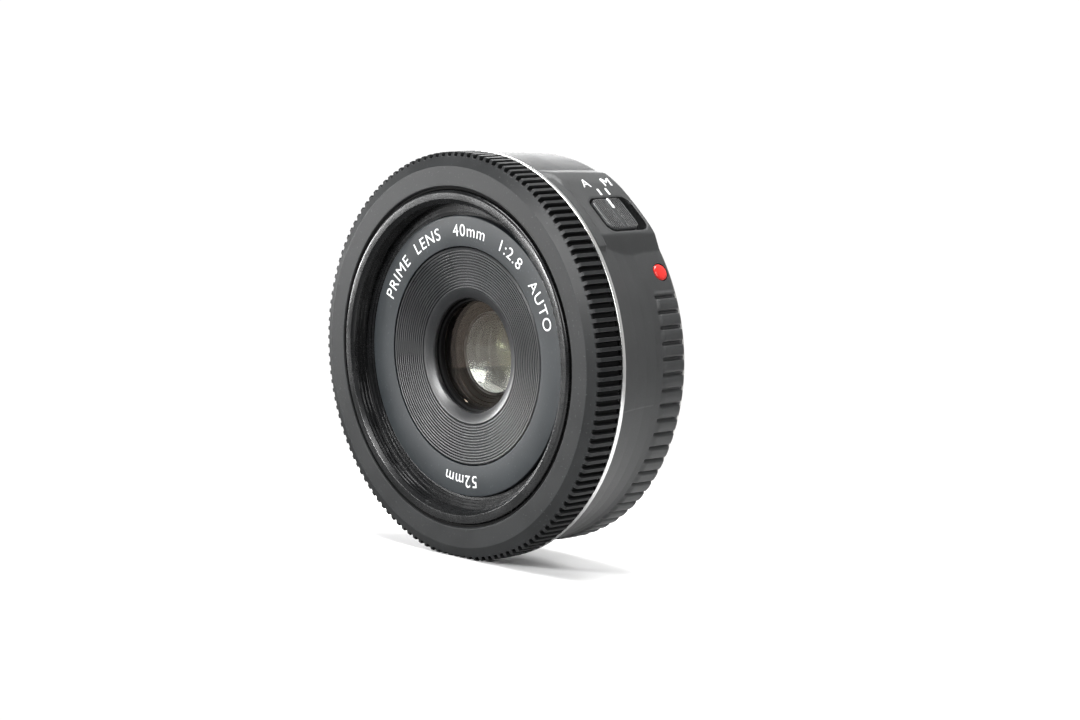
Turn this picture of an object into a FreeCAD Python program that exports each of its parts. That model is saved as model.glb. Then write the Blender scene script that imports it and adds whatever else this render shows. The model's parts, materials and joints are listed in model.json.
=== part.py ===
"""A 40 mm f/2.8 autofocus pancake lens, as a parametric assembly.

Frame: the origin is the centre of the mount flange face, on the optical axis.
The lens looks along -Y, +Z is up, and +X is on the right seen from the front.
"depth" is the distance in front of the flange face, so a depth d lies at y = -d.
Angles go round the optical axis from +Z towards +X. All sizes are millimetres.
"""
import FreeCAD
import Part
import Sketcher
import math
import os
from FreeCAD import Placement, Rotation, Vector

doc = FreeCAD.newDocument("pancake_lens")
sheet = doc.addObject("Spreadsheet::Sheet", "sheet")

SIZES = {
    # outer casing behind the silver ring
    "casing_rear_r": 32.1,
    "casing_waist_r": 32.25,
    "casing_front_r": 33.6,
    "casing_bore_r": 31.0,
    "casing_rear_d": 0.7,
    "casing_waist_d": 7.0,
    "casing_front_d": 15.7,
    "grip_band_r": 32.6,
    "grip_band_front_d": 5.7,
    "grip_groove_width": 0.8,
    "grip_groove_depth": 0.45,
    "floor_rear_d": 1.6,
    "floor_front_d": 2.8,
    "floor_bore_r": 26.0,
    "collar_r": 31.9,
    "collar_bore_r": 30.8,
    "collar_front_d": 20.6,
    # switch housing on the casing
    "housing_face_r": 33.7,
    "housing_top_t": 8.0,
    "housing_low_t": 5.8,
    "housing_rear_d": 1.1,
    "housing_front_d": 13.6,
    "housing_edge_r": 35.2,
    "slot_rear_d": 2.35,
    "switch_travel": 1.85,
    "switch_clearance": 0.15,
    "slot_width": 7.1,
    "slot_centre_t": 1.5,
    "slot_corner": 1.5,
    "knob_length": 7.0,
    "knob_width": 6.8,
    "knob_corner": 1.4,
    "knob_height": 2.0,
    "slider_length": 8.2,
    "slider_width": 8.6,
    "slider_thick": 0.5,
    "slider_seat_r": 31.5,
    # silver ring
    "silver_r": 34.0,
    "silver_bore_r": 31.95,
    "silver_rear_d": 15.75,
    "silver_front_d": 16.6,
    # focus ring
    "knurl_r": 34.1,
    "knurl_rear_d": 16.75,
    "knurl_front_d": 21.35,
    "knurl_groove_width": 0.8,
    "knurl_groove_depth": 0.5,
    "ring_bevel_r": 31.8,
    "ring_front_d": 22.5,
    "ring_bore_r": 28.35,
    "ring_bearing_r": 32.0,
    "ring_recess_r": 32.9,
    "ring_recess_d": 20.3,
    "ring_plate_d": 21.4,
    # extending barrel
    "barrel_r": 27.8,
    "barrel_bore_r": 26.4,
    "barrel_rear_d": 11.0,
    "lip_inner_r": 26.3,
    "thread_r": 25.6,
    "thread_pitch": 0.75,
    "thread_depth": 0.4,
    "thread_floor_d": 19.8,
    "thread_front_d": 22.35,
    "ledge_r": 24.2,
    "name_seat_r": 23.6,
    "web_front_d": 18.7,
    "web_rear_d": 17.7,
    "total_length": 22.8,
    # name ring and ridged front cover
    "name_r": 23.5,
    "name_bore_r": 18.3,
    "name_front_d": 19.9,
    "name_fall": 0.12,
    "cone_r": 18.2,
    "cone_foot_r": 11.3,
    "cone_mouth_r": 9.6,
    "ridge_pitch": 0.5,
    "ridge_height": 0.18,
    # mount
    "flange_r": 31.7,
    "flange_thick": 1.6,
    "spigot_r": 25.4,
    "spigot_bore_r": 23.6,
    "spigot_length": 5.4,
    "lug_r": 26.9,
    "lug_front": 1.3,
    "lug_thick": 1.4,
    # fixed frame and drive ring
    "frame_rear_d": 2.95,
    "frame_thick": 1.2,
    "frame_bore_r": 14.2,
    "frame_r": 30.7,
    "sleeve_bore_r": 28.0,
    "sleeve_r": 28.85,
    "sleeve_front_d": 21.1,
    "drive_bore_r": 28.95,
    "drive_r": 30.4,
    "drive_rear_d": 4.6,
    "drive_front_d": 21.0,
    "pin_r": 1.0,
    "pin_clearance": 0.06,
    "pin_rest_d": 12.6,
    "focus_travel": 7.0,
    "gear_module": 0.3,
    "gear_width": 0.8,
    "low_gear_d": 4.75,
    "high_gear_d": 5.65,
    "axle_r": 0.35,
    "bracket_d": 6.55,
    "bracket_thick": 0.4,
    "motor_r": 4.0,
    "motor_length": 6.5,
    # optical unit
    "front_cell_r": 10.6,
    "iris_housing_r": 13.6,
    "iris_bore_r": 13.0,
    "iris_rear_d": 8.6,
    "iris_floor": 0.7,
    "iris_ring_d": 10.3,
    "iris_ring_thick": 0.5,
    "iris_cover_d": 10.95,
    "iris_cover_thick": 0.3,
    "iris_module": 0.4,
    "stop_r": 7.3,
    "blade_d": 9.4,
    "blade_thick": 0.06,
    "blade_step": 0.12,
    "blade_inner_r": 7.5,
    "blade_outer_r": 10.3,
    "blade_pivot_r": 11.3,
    "blade_peg_r": 0.3,
    "iris_motor_r": 3.0,
    "iris_motor_length": 4.8,
    "rear_cell_r": 13.4,
    "rear_cell_rear_d": -2.7,
}

KNURL_COUNT = 136
GRIP_COUNT = 80
GRIP_OFFSET_ANGLE = 1.4
BLADE_COUNT = 7
CONTACT_COUNT = 7
FOLLOWER_COUNT = 3
DRIVE_SWEEP = 105.0
HOUSING_ANGLE = 40.0
DOT_ANGLE = 61.5
GRIP_FIRST_ANGLE = 68.0
GRIP_LAST_ANGLE = 322.0
RING_TEETH = 196
PINION_TEETH = 10
WHEEL_TEETH = 30
STEP_TEETH = 12
IDLER_TEETH = 22
IRIS_TEETH = 72
IRIS_PINION_TEETH = 10
IRIS_SWEEP = 35.0
BLADE_SWING = 28.0
BLADE_SPAN = 72.0
BLADE_DRIVE_ANGLE = 14.0
IDLER_ANGLE = 205.0
IRIS_MOTOR_ANGLE = 60.0


class Size:
    """A length that knows its value and the sheet expression that gives it."""

    def __init__(self, value, text):
        self.value = value
        self.text = text

    def __add__(self, other):
        return Size(self.value + number(other), f"({self.text} + {text(other)})")

    def __sub__(self, other):
        return Size(self.value - number(other), f"({self.text} - {text(other)})")

    def __mul__(self, factor):
        return Size(self.value * number(factor), f"({self.text} * {text(factor)})")

    def __neg__(self):
        return Size(-self.value, f"(-{self.text})")


def number(size):
    """The value of a Size or of a plain number."""
    return size.value if isinstance(size, Size) else float(size)


def text(size):
    """The expression of a Size or of a plain number."""
    return size.text if isinstance(size, Size) else repr(float(size))


class Sheet:
    """Every driving dimension as a Size, read as an attribute."""


for row, (alias, value) in enumerate(SIZES.items(), start=1):
    sheet.set(f"A{row}", alias.replace("_", " "))
    sheet.set(f"B{row}", str(value))
    sheet.setAlias(f"B{row}", alias)
    setattr(Sheet, alias, Size(value, f"sheet.{alias}"))
doc.recompute()
S = Sheet

nodes = []


def node(label, shape_object):
    """Mark an object of the document as the sub-part that this label names."""
    shape_object.Label = label
    nodes.append(shape_object)
    return shape_object


# ---------------------------------------------------------------- placing


def turn(angle):
    """The rotation that carries a thing at the top round to an angle."""
    return Rotation(Vector(0, 1, 0), angle)


def locate(thing, angle, radius, depth, rotation):
    """Put a thing at an angle, radius and depth, with its base point bound to the sheet."""
    sine, cosine = math.sin(math.radians(angle)), math.cos(math.radians(angle))
    across, up, back = number(radius) * sine, number(radius) * cosine, -number(depth)
    thing.Placement = Placement(Vector(across, back, up), rotation)
    thing.setExpression("Placement.Base.x", f"{text(radius)} * {sine:.9f}")
    thing.setExpression("Placement.Base.y", f"-1 * {text(depth)}")
    thing.setExpression("Placement.Base.z", f"{text(radius)} * {cosine:.9f}")
    return thing


def axial(thing, depth, radius=0.0, angle=0.0):
    """Stand a thing's own Z axis along the optical axis, pointing forwards."""
    return locate(thing, angle, radius, depth, turn(angle) * Rotation(Vector(1, 0, 0), 90))


def radial(thing, depth, radius, angle):
    """Point a thing's own Z axis straight out from the optical axis."""
    return locate(thing, angle, radius, depth, turn(angle))


def bind(thing, **sizes):
    """Set the sizes of a primitive and bind them to the sheet."""
    for prop, size in sizes.items():
        setattr(thing, prop, number(size))
        if isinstance(size, Size):
            thing.setExpression(prop, size.text)
    return thing


# ---------------------------------------------------------------- shapes


def sketch_outline(body, role, points):
    """A closed sketch of straight sides, every corner bound to the sheet."""
    sketch = body.newObject("Sketcher::SketchObject", "outline")
    plane = [feature for feature in body.Origin.OriginFeatures if feature.Role == role][0]
    sketch.AttachmentSupport = [(plane, "")]
    sketch.MapMode = "FlatFace"
    corners = [Vector(number(x), number(y), 0) for x, y in points]
    count = len(corners)
    for i, corner in enumerate(corners):
        sketch.addGeometry(Part.LineSegment(corner, corners[(i + 1) % count]), False)
    for i in range(count):
        sketch.addConstraint(Sketcher.Constraint("Coincident", i, 2, (i + 1) % count, 1))
    for i, point in enumerate(points):
        for kind, size in zip(("DistanceX", "DistanceY"), point):
            index = sketch.addConstraint(Sketcher.Constraint(kind, -1, 1, i, 1, number(size)))
            if isinstance(size, Size):
                sketch.setExpression(f"Constraints[{index}]", size.text)
    return sketch


def turned(name, profile):
    """A part turned about the optical axis from (radius, depth) corners."""
    body = doc.addObject("PartDesign::Body", name)
    points = [(radius, -depth) for radius, depth in profile]
    sketch = sketch_outline(body, "XY_Plane", points)
    revolution = body.newObject("PartDesign::Revolution", name + "_turned")
    revolution.Profile = (sketch, [""])
    revolution.ReferenceAxis = (sketch, ["V_Axis"])
    revolution.Angle = 360.0
    return body


def ring(name, outer, inner, rear, front):
    """A plain ring between two radii and two depths."""
    return turned(name, [(inner, rear), (outer, rear), (outer, front), (inner, front)])


def prism(name, outline, rear, front, angle=0.0):
    """An outline across the axis, as (sideways, outwards) corners, run from one depth to another."""
    body = doc.addObject("PartDesign::Body", name)
    sketch = sketch_outline(body, "XZ_Plane", outline)
    pad = body.newObject("PartDesign::Pad", name + "_pad")
    pad.Profile = (sketch, [""])
    bind(pad, Length=front - rear)
    locate(body, angle, 0.0, rear, turn(angle))
    return body


def rod(radius, length, depth, at_radius=0.0, angle=0.0):
    """A round bar along the optical axis, from one depth forwards."""
    return axial(bind(doc.addObject("Part::Cylinder", "rod"), Radius=radius, Height=length),
                 depth, at_radius, angle)


def peg(radius, inner, outer, depth, angle):
    """A round bar pointing outwards, between two radii."""
    return radial(bind(doc.addObject("Part::Cylinder", "peg"), Radius=radius, Height=outer - inner),
                  depth, inner, angle)


def block(width, length, height, rear, base, angle, centre=0.0):
    """A box on a tangent plane: width sideways, length along the axis, height outwards."""
    box = bind(doc.addObject("Part::Box", "block"), Length=width, Width=length, Height=height)
    radial(box, rear + length, base, angle)
    sine, cosine = math.sin(math.radians(angle)), math.cos(math.radians(angle))
    edge = Size(number(centre), text(centre)) - width * 0.5
    box.setExpression("Placement.Base.x", f"{text(base)} * {sine:.9f} + {edge.text} * {cosine:.9f}")
    box.setExpression("Placement.Base.z", f"{text(base)} * {cosine:.9f} - {edge.text} * {sine:.9f}")
    return box


def cut(name, base, *tools):
    """The base with every tool taken away."""
    result = doc.addObject("Part::Cut", name)
    result.Base = base
    result.Tool = tools[0] if len(tools) == 1 else group(tools)
    return result


def group(things):
    """Several things as one compound, to cut with or to keep together."""
    compound = doc.addObject("Part::Compound", "group")
    compound.Links = list(things)
    return compound


def fuse(name, *things):
    """Several overlapping things made into one."""
    result = doc.addObject("Part::MultiFuse", name)
    result.Shapes = list(things)
    return result


def common(name, *things):
    """What several things share."""
    result = doc.addObject("Part::MultiCommon", name)
    result.Shapes = list(things)
    return result


def feature(name, shape):
    """A shape made with Part's own functions, as an object of the document."""
    thing = doc.addObject("Part::Feature", name)
    thing.Shape = shape
    return thing


def spread(count, first=0.0):
    """Evenly spaced angles round a full turn."""
    return [first + 360.0 * i / count for i in range(count)]


def cylinder_at(radius, height, angle, at_radius, depth):
    """A bare round bar along the axis, for shapes made with Part's functions."""
    bar = Part.makeCylinder(radius, height, Vector(0, 0, 0), Vector(0, -1, 0))
    bar.translate(Vector(at_radius * math.sin(math.radians(angle)), -depth,
                         at_radius * math.cos(math.radians(angle))))
    return bar


LENS_GAP = 0.03


def lens_element(edge_r, rear, front, rear_curve, front_curve):
    """A glass element between two vertex depths; a positive curve bulges outwards."""
    blank_front = front if front_curve > 0 else front + 3.0
    blank_rear = rear if rear_curve > 0 else rear - 3.0
    blank = rod(edge_r - LENS_GAP, blank_front - blank_rear, blank_rear)
    for curve, vertex, side in ((front_curve, front, 1), (rear_curve, rear, -1)):
        ball = bind(doc.addObject("Part::Sphere", "curve"), Radius=abs(curve))
        axial(ball, vertex - side * curve)
        if curve > 0:
            blank = common("glass", blank, ball)
        else:
            blank = cut("glass", blank, ball)
    return blank


def sector(name, middle, width, rear, front, reach=40.0):
    """A wedge of the space round the axis, to keep or to cut away."""
    half = math.radians(width / 2)
    side = (reach * math.sin(half), reach * math.cos(half))
    return prism(name, [(0, 0), (side[0], side[1]), (-side[0], side[1])], rear, front, middle)


def rounded_block(width, length, height, rear, base, angle, centre, corner):
    """A block on a tangent plane with its four outward edges rounded."""
    box = block(width, length, height, rear, base, angle, centre)
    fillet = doc.addObject("Part::Fillet", "rounded")
    fillet.Base = box
    upright_edges = (1, 3, 5, 7)
    fillet.Edges = [(edge, number(corner), number(corner)) for edge in upright_edges]
    return fillet


def grooves(name, angles, width, bottom, rear, front):
    """Straight grooves along the axis, cut inwards to one radius from outside."""
    reach = 3.0
    tools = []
    for angle in angles:
        tool = Part.makeBox(width, front - rear, reach, Vector(-width / 2, -front, bottom))
        tool.rotate(Vector(0, 0, 0), Vector(0, 1, 0), angle)
        tools.append(tool)
    return feature(name, Part.makeCompound(tools))


# ---------------------------------------------------------------- gears

TOOTH_TIP = 0.11
TOOTH_FOOT = 0.31
ADDENDUM = 0.85
DEDENDUM = 1.25


def pitch_radius(teeth, module=None):
    """The pitch radius of a gear, as a Size."""
    return (module or S.gear_module) * (teeth / 2)


def toothed_wire(teeth, module, first_tooth, internal=False, keep=None):
    """The closed outline of a gear; keep is the first and last angle that carries teeth."""
    step = 360.0 / teeth
    pitch = teeth * module / 2
    tip = pitch + module * (-ADDENDUM if internal else ADDENDUM)
    foot = pitch + module * (DEDENDUM if internal else -DEDENDUM)
    corners = []
    for i in range(teeth):
        middle = first_tooth + i * step
        toothed = keep is None or (middle - keep[0]) % 360.0 <= keep[1] - keep[0]
        shape = ((-TOOTH_FOOT, foot), (-TOOTH_TIP, tip), (TOOTH_TIP, tip), (TOOTH_FOOT, foot))
        for share, radius in shape if toothed else ((0.0, foot),):
            angle = math.radians(middle + share * step)
            corners.append(Vector(radius * math.sin(angle), 0, radius * math.cos(angle)))
    return Part.makePolygon(corners + corners[:1])


def gear_solid(teeth, module, first_tooth, rear, width, keep=None):
    """A spur gear round the axis, from one depth forwards."""
    wheel = Part.Face(toothed_wire(teeth, module, first_tooth, keep=keep))
    wheel.translate(Vector(0, -rear, 0))
    return wheel.extrude(Vector(0, -width, 0))


def first_tooth_in_mesh(teeth, mate_teeth, mate_first, direction):
    """Where a gear's first tooth stands when it lies in this direction from its mate."""
    mate_phase = (direction - mate_first) * mate_teeth / 360.0
    return direction + 180.0 - (0.5 - mate_phase) * 360.0 / teeth


def meeting_angle(radius, other_radius, distance):
    """The angle at the axis between two points at these radii and this far apart."""
    cosine = (radius ** 2 + other_radius ** 2 - distance ** 2) / (2 * radius * other_radius)
    return math.degrees(math.acos(cosine))


def spot(angle, radius):
    """The (x, z) place at an angle and a radius."""
    return Vector(radius * math.sin(math.radians(angle)), 0, radius * math.cos(math.radians(angle)))


def bearing(start, end):
    """The angle, from +Z towards +X, in which one place lies from another."""
    return math.degrees(math.atan2(end.x - start.x, end.z - start.z))


# ---------------------------------------------------------------- casing

HOUSING_SKIRT = 2.6
housing = prism("housing_block", [
    (-S.housing_top_t - HOUSING_SKIRT, S.casing_bore_r + 0.2),
    (-S.housing_top_t, S.housing_face_r),
    (S.housing_low_t, S.housing_face_r),
    (S.housing_low_t + HOUSING_SKIRT, S.casing_bore_r + 0.2),
], S.housing_rear_d, S.casing_front_d, HOUSING_ANGLE)
housing_limit = turned("housing_limit", [
    (S.casing_bore_r, S.floor_rear_d),
    (S.flange_r + 0.1, S.floor_rear_d),
    (S.flange_r + 0.1, S.housing_rear_d),
    (S.housing_face_r - 0.5, S.housing_rear_d),
    (S.housing_edge_r, S.housing_rear_d + 0.9),
    (S.housing_edge_r, S.housing_front_d),
    (S.casing_front_r, S.casing_front_d),
    (S.casing_bore_r, S.casing_front_d),
])
casing_shell = turned("casing_shell", [
    (S.floor_bore_r, S.floor_rear_d),
    (S.flange_r + 0.1, S.floor_rear_d),
    (S.flange_r + 0.1, S.casing_rear_d),
    (S.casing_rear_r, S.casing_rear_d),
    (S.grip_band_r, S.casing_rear_d + 0.6),
    (S.grip_band_r, S.grip_band_front_d),
    (S.casing_waist_r, S.casing_waist_d),
    (S.casing_waist_r + 0.35, S.casing_waist_d + 4.5),
    (S.casing_front_r, S.casing_front_d),
    (S.collar_r, S.casing_front_d),
    (S.collar_r, S.collar_front_d),
    (S.collar_bore_r, S.collar_front_d),
    (S.collar_bore_r, S.casing_front_d - 0.8),
    (S.casing_bore_r, S.casing_front_d - 1.0),
    (S.casing_bore_r, S.floor_front_d),
    (S.floor_bore_r, S.floor_front_d),
])

slot_length = S.knob_length + S.switch_travel + S.switch_clearance * 2
knob_rear = S.slot_rear_d + S.switch_clearance + S.switch_travel
slider_rear = knob_rear - (S.slider_length - S.knob_length) * 0.5
room_rear = slider_rear - S.switch_travel - S.switch_clearance
room_length = S.slider_length + S.switch_travel + S.switch_clearance * 2
slot = rounded_block(S.slot_width, slot_length, 5.0, S.slot_rear_d, S.casing_bore_r - 0.5,
                     HOUSING_ANGLE, S.slot_centre_t, S.slot_corner)
slider_room = block(S.slider_width + 0.4, room_length, 1.6, room_rear, S.slider_seat_r - 1.0,
                    HOUSING_ANGLE, S.slot_centre_t)
dot_recess = peg(1.55, S.casing_bore_r + 0.8, S.housing_edge_r, 2.9, DOT_ANGLE)
grip_angles = [angle for angle in spread(GRIP_COUNT, GRIP_OFFSET_ANGLE)
               if GRIP_FIRST_ANGLE < angle < GRIP_LAST_ANGLE]
grip_grooves = grooves("grip_grooves", grip_angles, S.grip_groove_width.value,
                       S.grip_band_r.value - S.grip_groove_depth.value,
                       0.0, S.grip_band_front_d.value - 0.5)

MOUNT_SCREW_ANGLES = spread(4, 15.0)
MOUNT_SCREW_R = 28.8
FRAME_SCREW_ANGLES = (40.0, 120.0, 300.0)
FRAME_SCREW_R = 27.0
mount_shanks = [rod(0.85, 3.2, -0.2, MOUNT_SCREW_R, angle) for angle in MOUNT_SCREW_ANGLES]
frame_shanks = [rod(0.5, 3.0, 1.2, FRAME_SCREW_R, angle) for angle in FRAME_SCREW_ANGLES]
SENSOR_ANGLE = 285.0
sensor_window = block(4.2, 1.6, 2.0, 17.05, 30.4, SENSOR_ANGLE)

casing_body = fuse("casing_body", casing_shell, common("housing", housing, housing_limit))
gripped_casing = cut("gripped_casing", casing_body, grip_grooves)
slotted_casing = cut("slotted_casing", gripped_casing, fuse("switch_room", slot, slider_room))
node("casing", cut("casing", slotted_casing, dot_recess, sensor_window, *mount_shanks, *frame_shanks))

# red alignment dot, a domed peg set in its recess
dot_peg = peg(1.38, S.casing_bore_r + 0.8, S.casing_bore_r + 3.0, 2.9, DOT_ANGLE)
dot_dome = radial(bind(doc.addObject("Part::Sphere", "dome"), Radius=3.0), 2.9, 29.8, DOT_ANGLE)
node("index_dot", common("index_dot", dot_peg, dot_dome))

node("silver_ring", ring("silver_ring", S.silver_r, S.silver_bore_r, S.silver_rear_d, S.silver_front_d))
node("ring_keeper", ring("ring_keeper", S.ring_recess_r - 0.3, S.collar_bore_r + 0.1,
                         S.collar_front_d, S.collar_front_d + 0.3))
node("encoder_sensor", block(4.0, 1.4, 0.8, 17.15, 31.0, SENSOR_ANGLE))

# ---------------------------------------------------------------- focus switch

knob = rounded_block(S.knob_width, S.knob_length, S.knob_height, knob_rear,
                     S.slider_seat_r + S.slider_thick, HOUSING_ANGLE, S.slot_centre_t, S.knob_corner)
KNOB_RIBS = 9
knob_top = S.slider_seat_r + S.slider_thick + S.knob_height
rib_step = S.knob_length * (1 / (KNOB_RIBS + 1))
rib_grooves = [block(S.knob_width - 1.2, 0.32, 1.0, knob_rear + rib_step * (i + 0.8), knob_top - 0.25,
                     HOUSING_ANGLE, S.slot_centre_t) for i in range(KNOB_RIBS)
               if i != KNOB_RIBS // 2]
node("switch_knob", cut("switch_knob", knob, *rib_grooves))
node("switch_slider", block(S.slider_width, S.slider_length, S.slider_thick, slider_rear,
                            S.slider_seat_r, HOUSING_ANGLE, S.slot_centre_t))
node("switch_keeper", block(S.slider_width + 0.2, room_length - 0.2, 0.35, room_rear + 0.1,
                            S.slider_seat_r - 0.6, HOUSING_ANGLE, S.slot_centre_t))

# ---------------------------------------------------------------- focus ring

SCALE_REAR_D = 17.1
SCALE_FRONT_D = 18.7
SCALE_DEEP = 0.4
ring_body = turned("ring_body", [
    (S.ring_bearing_r, S.knurl_rear_d),
    (S.knurl_r, S.knurl_rear_d),
    (S.knurl_r, S.knurl_front_d),
    (S.ring_bevel_r, S.ring_front_d),
    (S.ring_bore_r + 0.25, S.ring_front_d),
    (S.ring_bore_r, S.ring_front_d - 0.25),
    (S.ring_bore_r, S.ring_plate_d),
    (S.ring_recess_r, S.ring_plate_d),
    (S.ring_recess_r, S.ring_recess_d),
    (S.ring_bearing_r, S.ring_recess_d),
    (S.ring_bearing_r, SCALE_FRONT_D),
    (S.ring_bearing_r + SCALE_DEEP, SCALE_FRONT_D),
    (S.ring_bearing_r + SCALE_DEEP, SCALE_REAR_D),
    (S.ring_bearing_r, SCALE_REAR_D),
])
knurl = grooves("knurl", spread(KNURL_COUNT), S.knurl_groove_width.value,
                S.knurl_r.value - S.knurl_groove_depth.value, 16.0, S.ring_front_d.value)
node("focus_ring", cut("focus_ring", ring_body, knurl))
node("encoder_scale", ring("encoder_scale", S.ring_bearing_r + SCALE_DEEP, S.ring_bearing_r + 0.05,
                           SCALE_REAR_D, SCALE_FRONT_D))
node("felt_seal", ring("felt_seal", S.ring_bore_r, S.barrel_r + 0.15, 21.5, 22.1))

# ---------------------------------------------------------------- mount

LUGS = ((0.0, 62.0), (118.0, 56.0), (239.0, 60.0))
LOCK_HOLE_ANGLE = 150.0
FLANGE_LAND_R = 27.2
FLANGE_STEP = 0.1
mount_body = turned("mount_body", [
    (S.spigot_bore_r, -S.spigot_length),
    (S.spigot_r, -S.spigot_length),
    (S.spigot_r, FLANGE_STEP),
    (FLANGE_LAND_R, FLANGE_STEP),
    (FLANGE_LAND_R, 0.0),
    (S.flange_r, 0.0),
    (S.flange_r, S.flange_thick),
    (S.spigot_bore_r, S.flange_thick),
])
lug_band = ring("lug_band", S.lug_r, S.spigot_r - 0.2, -S.lug_front - S.lug_thick, -S.lug_front)
lug_sectors = [sector("lug", middle, width, -5.0, 0.0) for middle, width in LUGS]
lugs = [common("lug", lug_band, lug_sector) for lug_sector in lug_sectors]
screw_seats = [rod(1.45, 1.0, -0.3, MOUNT_SCREW_R, angle) for angle in MOUNT_SCREW_ANGLES]
lock_hole = rod(1.0, 3.0, -0.5, 29.2, LOCK_HOLE_ANGLE)
node("mount_bayonet", cut("mount_bayonet", fuse("mount_blank", mount_body, *lugs),
                          *mount_shanks, *screw_seats, lock_hole))


def screw(angle, radius, head_d, head_r, head_t, shank_r, shank_end_d):
    """A cross-head screw whose head faces away from its shank."""
    sense = 1 if shank_end_d > head_d else -1
    lift = Vector(0, -head_d, 0)
    head = Part.makeCylinder(head_r, head_t, lift, Vector(0, -sense, 0))
    shank = Part.makeCylinder(shank_r, abs(shank_end_d - head_d), lift, Vector(0, -sense, 0))
    body = head.fuse(shank)
    arm, width, deep = head_r * 1.1, head_r * 0.28, head_t * 0.6
    for size in ((arm, width), (width, arm)):
        slot_box = Part.makeBox(size[0], 2 * deep, size[1],
                                Vector(-size[0] / 2, -head_d - deep, -size[1] / 2))
        body = body.cut(slot_box)
    body.rotate(Vector(0, 0, 0), Vector(0, 1, 0), angle)
    body.translate(spot(angle, radius))
    return body


node("mount_screws", feature("mount_screws", Part.makeCompound([
    screw(angle, MOUNT_SCREW_R, 0.1, 1.4, 0.55, 0.8, 2.7) for angle in MOUNT_SCREW_ANGLES])))

CONTACT_ANGLE = 180.0
CONTACT_SPAN = 66.0
BAFFLE_D = -3.8
contact_band = ring("contact_band", S.spigot_bore_r - 0.05, 18.6, -S.spigot_length + 0.3, 1.9)
contact_body = common("contact_body", contact_band,
                      sector("contact_sector", CONTACT_ANGLE, CONTACT_SPAN, -6.0, 3.0))
contact_angles = [CONTACT_ANGLE + 8.2 * (i - (CONTACT_COUNT - 1) / 2) for i in range(CONTACT_COUNT)]
CONTACT_R = 21.3
pin_holes = [rod(0.75, 8.0, -6.0, CONTACT_R, angle) for angle in contact_angles]
block_screw_angles = (CONTACT_ANGLE - 29.5, CONTACT_ANGLE + 29.5)
block_screw_seats = [rod(0.75, 1.0, -S.spigot_length, CONTACT_R, angle) for angle in block_screw_angles]
node("contact_block", cut("contact_block", contact_body, *pin_holes, *block_screw_seats))
node("contact_pins", group([rod(0.72, 7.2, -S.spigot_length + 0.1, CONTACT_R, angle)
                            for angle in contact_angles]))
node("contact_screws", feature("contact_screws", Part.makeCompound([
    screw(angle, CONTACT_R, -S.spigot_length.value + 0.35, 0.7, 0.5, 0.4, -S.spigot_length.value + 0.95)
    for angle in block_screw_angles])))

baffle_plate = turned("baffle_plate", [
    (S.spigot_bore_r - 0.1, BAFFLE_D),
    (S.spigot_bore_r - 0.1, 1.4),
    (S.spigot_bore_r - 0.9, 1.4),
    (S.spigot_bore_r - 0.9, BAFFLE_D + 0.7),
    (10.8, BAFFLE_D + 0.7),
    (11.6, BAFFLE_D),
])
contact_gap = common("contact_gap", ring("contact_gap_ring", 25.0, 18.5, -6.0, 3.0),
                     sector("contact_gap_sector", CONTACT_ANGLE, CONTACT_SPAN + 1.0, -7.0, 4.0))
node("rear_baffle", cut("rear_baffle", baffle_plate, contact_gap))

# ---------------------------------------------------------------- fixed frame

frame_front = S.frame_rear_d + S.frame_thick
FOLLOWER_ANGLES = spread(FOLLOWER_COUNT, 20.0)
frame_body = turned("frame_body", [
    (S.frame_bore_r, S.frame_rear_d),
    (S.frame_r, S.frame_rear_d),
    (S.frame_r, frame_front),
    (S.sleeve_r, frame_front),
    (S.sleeve_r, S.sleeve_front_d),
    (S.sleeve_bore_r, S.sleeve_front_d),
    (S.sleeve_bore_r, frame_front),
    (S.frame_bore_r, frame_front),
])
pin_room = S.pin_r + S.pin_clearance
straight_slots = [block(pin_room * 2, S.sleeve_front_d - S.pin_rest_d + pin_room + 1.0, 2.0,
                        S.pin_rest_d - pin_room, S.sleeve_bore_r - 0.5, angle)
                  for angle in FOLLOWER_ANGLES]

idler_r = pitch_radius(RING_TEETH) - pitch_radius(IDLER_TEETH)
idler_spot = spot(IDLER_ANGLE, idler_r.value)
STEP_R = 22.5
step_angle = IDLER_ANGLE - meeting_angle(
    idler_r.value, STEP_R, (pitch_radius(IDLER_TEETH) + pitch_radius(STEP_TEETH)).value)
step_spot = spot(step_angle, STEP_R)
MOTOR_R = 20.3
motor_angle = step_angle - meeting_angle(
    STEP_R, MOTOR_R, (pitch_radius(WHEEL_TEETH) + pitch_radius(PINION_TEETH)).value)
motor_spot = spot(motor_angle, MOTOR_R)

idler_window = rod(pitch_radius(IDLER_TEETH) + 0.7, S.high_gear_d + 0.15 - frame_front, frame_front,
                   idler_r, IDLER_ANGLE)
node("main_frame", cut("main_frame", frame_body, idler_window, *straight_slots, *frame_shanks))
node("frame_screws", feature("frame_screws", Part.makeCompound([
    screw(angle, FRAME_SCREW_R, 4.65, 0.9, 0.5, 0.48, 1.9) for angle in FRAME_SCREW_ANGLES])))
node("gear_axles", group([
    rod(S.axle_r, S.high_gear_d - 0.05 - frame_front, frame_front, idler_r, IDLER_ANGLE),
    rod(S.axle_r, S.bracket_d - frame_front, frame_front, STEP_R, step_angle)]))

board_ring = ring("board_ring", 25.4, 15.2, 2.2, 2.9)
board_cut = sector("board_cut", 0.0, 118.0, 1.0, 4.0)
node("circuit_board", cut("circuit_board", board_ring, board_cut))

CABLE_ANGLE = 100.0
cable_outer = block(5.0, 5.4, 0.14, 4.15, 24.6, CABLE_ANGLE)
cable_fold = block(5.0, 0.14, 1.54, 9.55, 23.2, CABLE_ANGLE)
cable_inner = block(5.0, 3.4, 0.14, 6.15, 23.2, CABLE_ANGLE)
node("flex_cable", fuse("flex_cable", cable_outer, cable_fold, cable_inner))

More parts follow.
